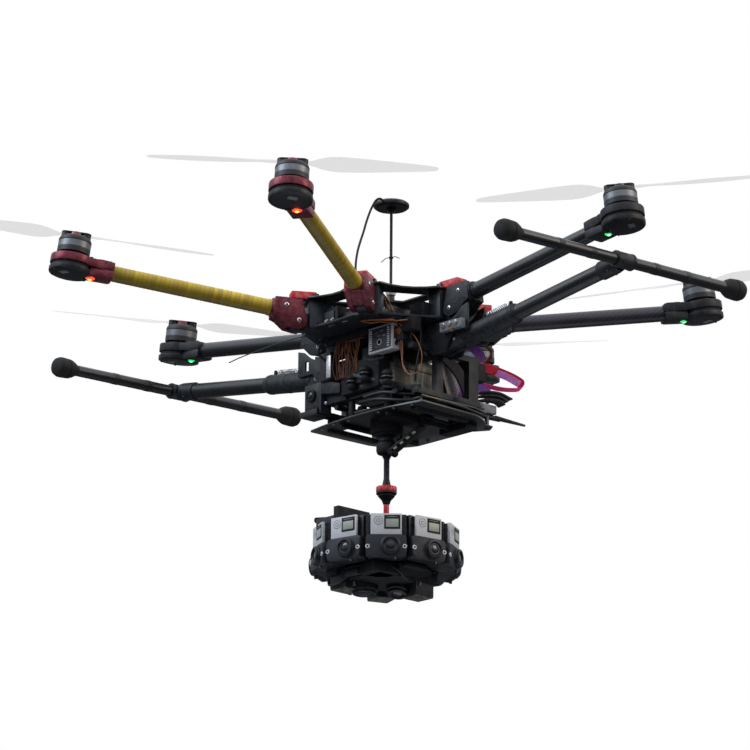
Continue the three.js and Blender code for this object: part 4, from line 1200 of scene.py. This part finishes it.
def camera_ring():
    """Ten cameras facing outwards, their holders and the arms that carry them from the hub."""
    shape = Shape(shift(0, ROD_Y, 0))
    for a in circle(CAMERA_COUNT):
        place = Matrix.Rotation(RIG_AZIMUTH + a, 4, "Z")
        camera_body(shape, place)
        shape.box((40, 74), (-16, 16), (40, 62), RUBBER, 1.2, place)
    shape.finish("camera_ring_bodies", "airframe", "camera_silver", ["camera_ring"])


def rig_hub():
    """The red spigot, the hub inside the ring and the holders that stand above some cameras."""
    shape = Shape(shift(0, ROD_Y, 0))
    shape.turned([(0, 40), (12, 40), (12, 92), (8, 97), (3.9, 99), (3.9, 133), (0, 133)], KNOB_RED, sides=40)
    shape.turned([(3.4, 133.4), (4.4, 133.6), (6.2, 138.2), (3.4, 138.2), (3.4, 133.4)], RUBBER, sides=32)
    shape.turned([(0, 34), (46, 34), (52, 40), (52, 60), (44, 66), (14, 70), (0, 70)], SATIN_BLACK, sides=40)
    shape.box((-4, 6), (-94, -36), (94, 115), RUBBER, 0.8)
    shape.box((-44, -4), (-90, -60), (90, 105), HOUSING, 2.0)
    shape.rod(4, (-46, -88, 104), (-46, -70, 108), RUBBER)
    shape.box((-50, -20), (-50, 30), (70, 96), RUBBER, 1.5)
    shape.finish("rig_hub_body", "airframe", "moulded_black", ["rig_frame"])


def lower_cameras():
    """The cameras under the ring that look down and outwards, and the block that carries them."""
    shape = Shape(shift(0, ROD_Y, 0))
    shape.turned([(0, 19), (30, 19), (50, 24), (60, 30), (64, 36), (0, 36)], RUBBER, sides=40)
    shape.box((-58, 48), (-56, 52), (22, 36), RUBBER, 2.4)
    for at, turn, depth in (((-31, -44), 0, 11), ((28, 32), 0, 3), ((-40, 30), 70, 12)):
        place = shift(*at, 0) @ spin(turn)
        shape.box((-15.5, 15.5), (-17, 17), (depth, 42), SATIN_BLACK, 2.2, place)
        shape.box((-14.6, 14.6), (-16.1, 16.1), (depth - 0.6, depth + 1), OLIVE, 0.5, place)
    shape.box((-40, -20), (-62, -56), (34, 52), HOUSING, 2.0, shift(-8, -4, -4))
    shape.box((24, 60), (-60, -16), (22, 37), RUBBER, 3.0, spin(-10))
    heads = [((-17, -24, 7.5), 2, -43, 16.5), ((14, 8, 6.5), 16, -60, 13.5), ((-44, 8, 18), 30, 150, 12)]
    for centre, lean, toward, radius in heads:
        place = shift(*centre) @ spin(toward) @ spin(180 - lean, "Y")
        barrel = [(0, -16), (radius + 2, -16), (radius + 2, -4), (radius, -3), (radius, 0.5),
                  (radius - 1.2, 1.2), (radius - 4, 1.2), (radius - 5, 0), (0, 0)]
        shape.turned(barrel, SATIN_BLACK, place, 48)
        shape.dome(radius - 5.4, 1.2, 0, GLASS, place, 32)
    for x, y in ((-50, -20), (-6, -52), (34, 50), (54, 12)):
        shape.rod(2.6, (x, y, 18), (x, y, 12), DARK_STEEL)
    shape.box((-14, 12), (-64, -56), (24, 32), LIGHT_BLACK, 1.0)
    shape.box((62, 74), (-30, 10), (30, 36), RUBBER, 2.0)
    leads = [
        [(-44, -62, 34), (-52, -58, 24), (-40, -66, 16), (-22, -64, 18), (-6, -60, 28)],
        [(48, -44, 36), (60, -30, 24), (52, -8, 16), (46, 8, 20)],
    ]
    for points in leads:
        shape.cable(points, 1.6, BLACK_WIRE)
    shape.finish("lower_camera_cage", "airframe")


for make_piece in (release_knob, camera_ring, rig_hub, lower_cameras):
    make_piece()


# ---------------------------------------------------------------- equipment round the battery


def bundle(shape, start, end, count, spread, sag, radius, finish):
    """Several thin wires side by side from one place to another, each waving a little differently."""
    a, b = Vector(start), Vector(end)
    across = Vector(spread)
    for i in range(count):
        share = i / max(count - 1, 1) - 0.5
        wave = 1.0 + 0.9 * math.sin(5.1 * i)
        lean = across * share
        points = [a + lean]
        for t in (0.25, 0.5, 0.75):
            bow = Vector((sag * wave * math.sin(7 * t + i), -sag * 0.8 * math.sin(math.pi * t + 0.7 * i), 0))
            points.append(a.lerp(b, t) + lean + bow)
        points.append(b + lean * 0.85)
        shape.cable(points, radius, finish, 5, 6)


def signal_module():
    """The receiver module on the nose side: grey frame, dark label side, pin rows and a red window."""
    shape = Shape(shift(46, -55, 349))
    shape.box((-24, 24), (-7, 7), (-18.5, 18.5), LIGHT_GREY, 1.2)
    shape.box((-21, 21), (-7.5, -6.5), (-15.5, 15.5), SLATE, 0.4)
    for i in range(9):
        z = -12.8 + i * 3.2
        shape.box((-19.8, -15.8), (-8.3, -7.2), (z - 0.9, z + 0.9), WHITE, 0.2)
        shape.box((14.6, 18.6), (-8.3, -7.2), (z - 0.9, z + 0.9), LIGHT_GREY, 0.2)
    eye = shift(-1, -7.6, -5) @ AXIS_Y
    shape.turned(washer(3.2, 4.4, -0.6, 0.6), LIGHT_GREY, eye, 32)
    for x, z in ((-7, 9), (4, 10.5), (-2, 4), (8, 3.4)):
        shape.box((x - 3, x + 3), (-8.2, -7.2), (z - 0.8, z + 0.8), GREY, 0.2)
    shape.boxes(
        ((-13, -5), (-8.2, -7.2), (-13.4, -11.2), WINDOW_RED, 0.3),
        ((23.6, 24.5), (-4.5, 4.5), (-4, 14), WINDOW_RED, 0.4),
        ((23.6, 24.7), (-2.5, 2.5), (-13, -7), RUBBER, 0.4),
    )
    for i in range(4):
        lead = [(24, -2 + i, 8 - 3 * i), (30 + i, -1, 10 - 2 * i), (33 + 2 * i, 3, 16), (24 + i, 9, 20)]
        shape.cable(lead, 0.7, COPPER)
    shape.box((-10, 12), (6, 12), (-10, 12), BLACK, 1.0)
    shape.finish("signal_module", "airframe")


def wire_looms():
    """Servo and signal wires that hang on the nose side of the frame."""
    shape = Shape()
    bundle(shape, (-27, -57, 371), (-29, -58, 309), 12, (40, 3, 0), 2.6, 0.85, BROWN)
    bundle(shape, (-24, -53, 370), (-26, -54, 312), 8, (36, -2, 0), 3.2, 0.85, COPPER)
    bundle(shape, (-46, -55, 366), (8, -59, 362), 3, (0, 0, 7), 2.0, 0.8, BROWN)
    loops = [
        [(70, -52, 356), (77, -53, 345), (81, -54, 312), (92, -53, 292), (104, -52, 290), (113, -51, 294),
         (117, -51, 313), (108, -50, 334), (92, -48, 352), (82, -46, 362)],
        [(72, -50, 357), (78, -51, 346), (80, -52, 322), (80, -52, 306), (84, -51, 296)],
    ]
    for points in loops:
        shape.cable(points, 0.55, COPPER, 8)
    leads = [
        [(52, -62, 411), (60, -60, 399), (67, -57, 384), (74, -53, 371), (84, -47, 365), (97, -38, 362)],
        [(50, -60, 409), (56, -60, 396), (66, -58, 380), (70, -55, 369), (80, -50, 363), (90, -44, 362)],
        [(40, -88, 371), (54, -84, 369), (66, -78, 368), (80, -68, 366), (96, -58, 366)],
        [(34, -84, 371), (48, -80, 367), (60, -76, 367), (74, -66, 364)],
        [(36, -90, 370), (50, -92, 368), (66, -84, 367), (84, -72, 366)],
    ]
    for points in leads:
        shape.cable(points, 0.9, COPPER)
    for i in range(5):
        x = 42 + 4 * i
        lead = [(x, -74 + i, 411), (x - 3, -77 + i, 402), (x + 1, -75, 393), (x + 4, -70, 386),
                (x + 1, -60, 380)]
        shape.cable(lead, 1.15, CREAM if i % 2 == 0 else BLACK_WIRE)
    black_leads = [
        ([(-60, -66, 371), (-64, -72, 362), (-70, -70, 350), (-66, -62, 340)], 1.6),
        ([(20, -66, 330), (26, -70, 322), (40, -68, 318), (52, -60, 322)], 1.6),
        ([(93, -30, 358), (96, -36, 330), (92, -38, 304), (86, -34, 286)], 1.3),
        ([(60, -50, 366), (74, -44, 350), (88, -30, 334), (96, -22, 322)], 1.8),
    ]
    for points, radius in black_leads:
        shape.cable(points, radius, BLACK_WIRE)
    shape.finish("wire_looms", "airframe")


def nose_equipment():
    """Boxes, dampers and the small forward camera on the battery tray's nose end."""
    shape = Shape()
    shape.boxes(
        ((-40, 36), (-56, -36), (286, 330), RUBBER, 2.0),
        ((-78, -55), (-62, -44), (312, 352), HOUSING, 1.6),
        ((-62, -53), (-63.5, -60), (314, 346), SILVER, 1.0),
        ((-62, -40), (-56, -38), (346, 370), RUBBER, 1.4),
        ((-20, 16), (-60, -40), (296, 310), HOUSING, 1.4),
        ((0, 30), (-54, -36), (328, 346), RUBBER, 1.6),
    )
    for x, y, z in ((16, -62, 306), (58, -60, 293), (36, -44, 290), (-12, -60, 300)):
        damper(shape, shift(x, y, z))
    bar = [(-6, 4), (30, 7), (92, 1), (96, -1), (92, -3), (28, -5), (-6, -4)]
    shape.prism(bar, (-2, 3), SATIN_BLACK, 0.8, shift(-2, -60, 305) @ spin(16) @ spin(19, "Y"))
    shape.prism(bar, (-2, 3), SATIN_BLACK, 0.8, shift(4, -52, 290) @ spin(12) @ spin(8, "Y"))
    shape.box((-118, -82), (-62, -34), (268, 276), BLACK, 1.2)
    shape.box((-112, -82), (-58, -38), (276, 314), SATIN_BLACK, 2.4)
    lens = shift(-97, -58, 297) @ AXIS_Y @ spin(180, "X")
    shape.turned([(0, 0), (9, 0), (9, 3), (7.5, 4), (6, 4), (5.4, 3), (0, 3)], RUBBER, lens, 40)
    shape.dome(5, 1.4, 2.6, GLASS, lens)
    shape.box((-82, -78), (-58, -38), (270, 320), LIGHT_BLACK, 0.8)
    shape.box((-96, -66), (-40, -20), (318, 328), RUBBER, 1.4)
    for x, z in ((-70, 300), (-70, 282), (-52, 296)):
        shape.screw((x, -56.2, z), (0, -1, 0), 2.4)
    shape.slab([(-78, 316), (-40, 304), (-40, 290), (-78, 296)], (-58, -50), BLACK, 1.0)
    shape.box((-78, -36), (-50, -30), (281, 300), BLACK, 1.0)
    shape.finish("nose_equipment", "airframe")


def damper(shape, place):
    """A rubber ball between two washers, upright on its post."""
    shape.turned([(0, -11), (6.2, -11), (7.4, -8), (5.2, -4), (5.2, -2), (0, -2)], RUBBER, place, 24)
    shape.turned([(0, -2), (8.2, -2), (8.4, -1), (8.2, 0.2), (0, 0.2)], DARK_STEEL, place, 24)
    shape.turned([(0, 0), (5.6, 0), (8.0, 3.4), (7.6, 6.6), (4.8, 9.4), (0, 10)], RUBBER, place, 24)


def battery_cover():
    """Foil, sleeve, straps and power leads round the battery."""
    shape = Shape()
    shape.slab([(-35, 320), (-30, 334), (33, 337), (37.5, 330), (37.5, 320)], (-27, 50), BATTERY, 1.5)
    shape.boxes(
        ((33, 41), (48, 64), (285, 336), RUBBER, 1.4),
        ((-38, 38), (100, 132), (284, 331), SATIN_BLACK, 3.0),
        ((30, 52), (96, 134), (324, 350), RUBBER, 2.0),
    )
    loop = [(26, 132, 351), (34, 150, 352), (36, 173, 350), (36, 198, 347), (36, 216, 342), (36, 218, 336),
            (36, 207, 331), (35, 182, 327), (32, 158, 327), (24, 136, 330)]
    shape.ribbon(loop[:6], (4, 2, 5.0), 1.4, RED_STRAP, 8)
    shape.ribbon(loop[4:], (2.4, 1, 2.4), 1.4, PINK_STRAP, 8)
    straps = [
        ((0, 12, 2), 1.6, SILVER_STRAP, (30, 62, 352), (41, 66, 344), (43, 72, 318), (43, 80, 296),
         (38, 86, 284)),
        ((0, 6, 1), 1.6, VIOLET_STRAP, (34, 90, 346), (42, 91, 336), (43, 92, 316), (43, 94, 296),
         (38, 96, 284)),
        ((0, 11, 0), 1.6, SILVER_STRAP, (-38, 70, 286), (-40, 70, 320), (-20, 70, 330), (20, 68, 330),
         (36, 66, 326)),
        ((2, 7, 3), 3.5, BLACK_STRAP, (44, 60, 348), (54, 74, 330), (60, 86, 308), (58, 94, 290)),
        ((3, 1, 3.6), 1.6, PINK_VIOLET, (39, 166, 347), (40, 182, 345), (40, 194, 343), (40, 210, 339)),
        ((3, 5, 4), 2.0, VIOLET_STRAP, (20, 132, 330), (26, 142, 328), (32, 158, 314), (28, 164, 306)),
        ((3, 4, 4), 2.0, VIOLET_STRAP, (20, 112, 384), (28, 132, 378), (32, 144, 364), (26, 136, 350)),
    ]
    for across, thickness, webbing, *points in straps:
        shape.ribbon(points, across, thickness, webbing)
    shape.slab([(44, 336), (52, 336), (58, 300), (50, 296)], (98, 104), LIGHT_GREY, 0.8)
    for i, finish in enumerate((BROWN, HUB_RED, BLACK_WIRE)):
        lead = [(16, 128, 346 + 3 * i), (30, 156 + 2 * i, 365), (42 - 2 * i, 150, 380), (28, 106, 388)]
        shape.cable(lead, 1.5, finish)
    for z, reach in ((314, 188), (309, 180), (303, 174)):
        tail = [(18, 130, z - 4), (32, 144, z + 1), (40, 164, z + 2), (42, reach, z - 3)]
        shape.ribbon(tail, (6, 1, 1), 2.2, BLACK_STRAP)
    shape.box((22, 40), (130, 166), (286, 299), GREY, 2.0)
    shape.finish("battery_straps", "airframe")


def tray_rails():
    """Rails, plates and rubber dampers between the battery tray and the payload plate."""
    shape = Shape()
    for x in (-60, 60):
        shape.rod(4.0, (x, -46, 276), (x, 90, 276), SATIN_BLACK)
        shape.rod(3.6, (x * 0.55, 60, 279), (x * 0.55, 178, 283), SATIN_BLACK)
    shape.slab([(46, 279), (74, 279), (70, 275), (50, 275)], (-44, 90), SATIN_BLACK, 1.0)
    shape.prism([(24, 166), (38, 166), (32, 230), (29, 230)], (283, 286), SATIN_BLACK, 0.8)
    plate = [(20, -36), (100, -30), (104, 60), (96, 92), (60, 98), (42, 112), (40, 128), (20, 128)]
    shape.prism(plate, (262, 265), PLATE_CARBON, 0.8)
    shape.prism([(6, 126), (44, 120), (42, 156), (28, 164), (8, 152)], (265, 268), PLATE_CARBON, 0.8)
    inner = [(20, -36), (-40, -40), (-44, -20), (-20, 20), (-44, 70), (-30, 110), (20, 128)]
    shape.prism(inner, (262, 265), PLATE_CARBON, 0.8)
    for x, y in ((34, -24), (84, -14), (92, 34), (84, 84), (48, 112), (34, 40), (-28, -26), (-28, 92)):
        shape.turned([(0, 252.6), (7, 252.6), (8.6, 257), (7, 262), (0, 262)], RUBBER, shift(x, y, 0), 20)
        shape.turned([(0, 265), (6.4, 265), (7.6, 269), (6, 274), (0, 274)], RUBBER, shift(x, y, 0), 20)
    shape.boxes(
        ((46, 84), (8, 46), (265, 280), RUBBER, 2.4),
        ((50, 80), (62, 98), (253, 262), SATIN_BLACK, 1.6),
        ((-2, 46), (-40, -18), (265, 281), HOUSING, 1.6),
    )
    hose = [(-10, -48, 272), (30, -52, 268), (66, -40, 262), (96, -10, 262), (104, 30, 260), (98, 80, 258)]
    shape.cable(hose, 2.4, BLACK_WIRE)
    lead = [(0, -50, 278), (38, -50, 277), (66, -36, 272), (88, 0, 272), (92, 44, 270), (86, 96, 272)]
    shape.cable(lead, 1.8, GREY_WIRE)
    for x, y in ((34, 152), (22, 134), (34, 128)):
        shape.rod(3.2, (x, y, 265), (x, y, 284), DARK_STEEL)
    shape.finish("tray_rails", "airframe")


def boss_bracket():
    """The slotted arm that braces the drop rod's boss from the payload plate."""
    shape = Shape()
    turn = shift(12, ROD_Y, 205) @ spin(24) @ spin(-35, "Y")
    outline = [(0, -8), (52, -8), (57, -4), (57, 4), (52, 8), (0, 8)]
    shape.prism(outline, (-2, 3), SATIN_BLACK, 1.0, turn)
    shape.prism([(2, -12), (48, -12), (48, -7), (2, -7)], (-1, 2), SATIN_BLACK, 0.6, turn)
    for i in range(4):
        shape.box((6 + i * 11, 11 + i * 11), (-11.6, -7.4), (-2.6, -0.8), CREAM, 0.3, turn)
    shape.rod(5, (0, -9, 0), (0, 9, 0), RUBBER, place=turn)
    shape.rod(3.4, (50, 0, 0), (62, 0, 12), RUBBER, place=turn)
    shape.finish("boss_bracket", "airframe")


def payload_underside():
    """Ribs, screws and boxes under the payload plate, and the collar over the rod's boss."""
    shape = Shape()
    for x in (-84, 84):
        shape.slab([(x - 5, 250), (x + 5, 250), (x + 3.5, 246), (x - 3.5, 246)], (-36, 64), SATIN_BLACK, 0.8)
    shape.box((20, 50), (-40, 30), (243, 250), RUBBER, 1.6)
    shape.box((28, 82), (66, 88), (240, 250), RUBBER, 2.0)
    shape.turned([(0, 232), (21, 232), (23, 236), (23, 250), (0, 250)], RUBBER, shift(0, ROD_Y, 0), 40)
    for x in (-90, -60, -30, 30, 60, 90):
        shape.screw((x, -44 if abs(x) > 60 else -50, 250), (0, 0, -1), 2.2)
        shape.screw((x, 60 if abs(x) > 60 else 100, 250), (0, 0, -1), 2.2, DARK_STEEL)
    for a in circle(6):
        x, y = polar(14, a)
        shape.screw((x, y + ROD_Y, 230), (0, 0, -1), 1.8, DARK_STEEL)
    for x in (-46, 46):
        shape.slab([(x - 3, 250), (x + 3, 250), (x + 2, 244), (x - 2, 244)], (-50, 96), BLACK, 0.6)
    shape.finish("payload_underside", "airframe")


def frame_electronics():
    """Speed controllers, receivers and brackets under and round the lower frame plate."""
    shape = Shape()
    shape.boxes(
        ((-60, 20), (-62, -20), (362, 372), RUBBER, 1.6),
        ((20, 84), (-52, -18), (361, 372), SATIN_BLACK, 1.6),
        ((30, 90), (18, 60), (356, 372), RUBBER, 2.0),
        ((-90, -30), (20, 66), (358, 372), RUBBER, 2.0),
        ((-84, -62), (-44, -20), (352, 372), HOUSING, 1.4),
        ((-52, -8), (-92, -66), (376, 402), RUBBER, 1.6),
        ((-46, -14), (-94, -90), (380, 396), HOUSING, 1.0),
        ((-6, 20), (-84, -66), (376, 392), SATIN_BLACK, 1.4),
        ((40, 70), (-84, -58), (376, 384), SATIN_BLACK, 1.2),
        ((70, 98), (-30, 30), (376, 398), RUBBER, 1.6),
        ((-98, -70), (-30, 30), (376, 398), RUBBER, 1.6),
    )
    for x in (-38, -26, -14):
        shape.rod(1.6, (x, -94, 384), (x, -99, 380), CREAM, 0.4, 12)
    for side in (-1, 1):
        shape.box((126, 168), span(side, 18, 27), (348, 361), GREY, 1.2)
        for x in (134, 146, 158):
            shape.rod(3.4, (x, side * 25, 356), (x, side * 30, 356), SILVER, 0.8, 24)
    shape.rod(1.5, (150, -30, 349), (150, -26, 345), COPPER)
    shape.box((84, 104), (-58, -40), (352, 371), RUBBER, 1.4)
    shape.box((58, 84), (-56, -42), (342, 361), SATIN_BLACK, 1.4)
    for x, y in ((64, -48), (86, -34), (70, 30), (-40, -40), (-20, -52)):
        shape.screw((x, y, 361), (0, 0, -1), 2.0)
    shape.finish("frame_electronics", "airframe")


def mast_ties():
    """Cable ties on the receiver mast, a clear foot cap and the antenna wire along the front arm."""
    shape = Shape()
    ties = [(488, [(-16, -4, -4), (13, 4, -3)]), (448, [(-10, -3, 6)])]
    for z, tails in ties:
        shape.turned(washer(1.9, 2.9, z - 1.3, z + 1.3), RUBBER, sides=16)
        for tail in tails:
            x, y, rise = tail
            shape.cable([(0, 0, z), (x * 0.5, y * 0.5, z + 0.5), (x, y, z + rise)], 0.55, RUBBER)
    shape.turned([(0, 433), (6.2, 433), (7.4, 437), (6.6, 442), (3, 446), (0, 446)], CLEAR, sides=28)
    antenna = [(-40, -50, 380), (-70, -74, 377), (-110, -96, 371), (-170, -118, 358), (-196, -124, 352)]
    shape.cable(antenna, 0.8, BLACK_WIRE)
    shape.finish("mast_ties", "airframe")


for make_piece in (signal_module, wire_looms, nose_equipment, battery_cover, tray_rails, boss_bracket,
                   payload_underside, frame_electronics, mast_ties):
    make_piece()
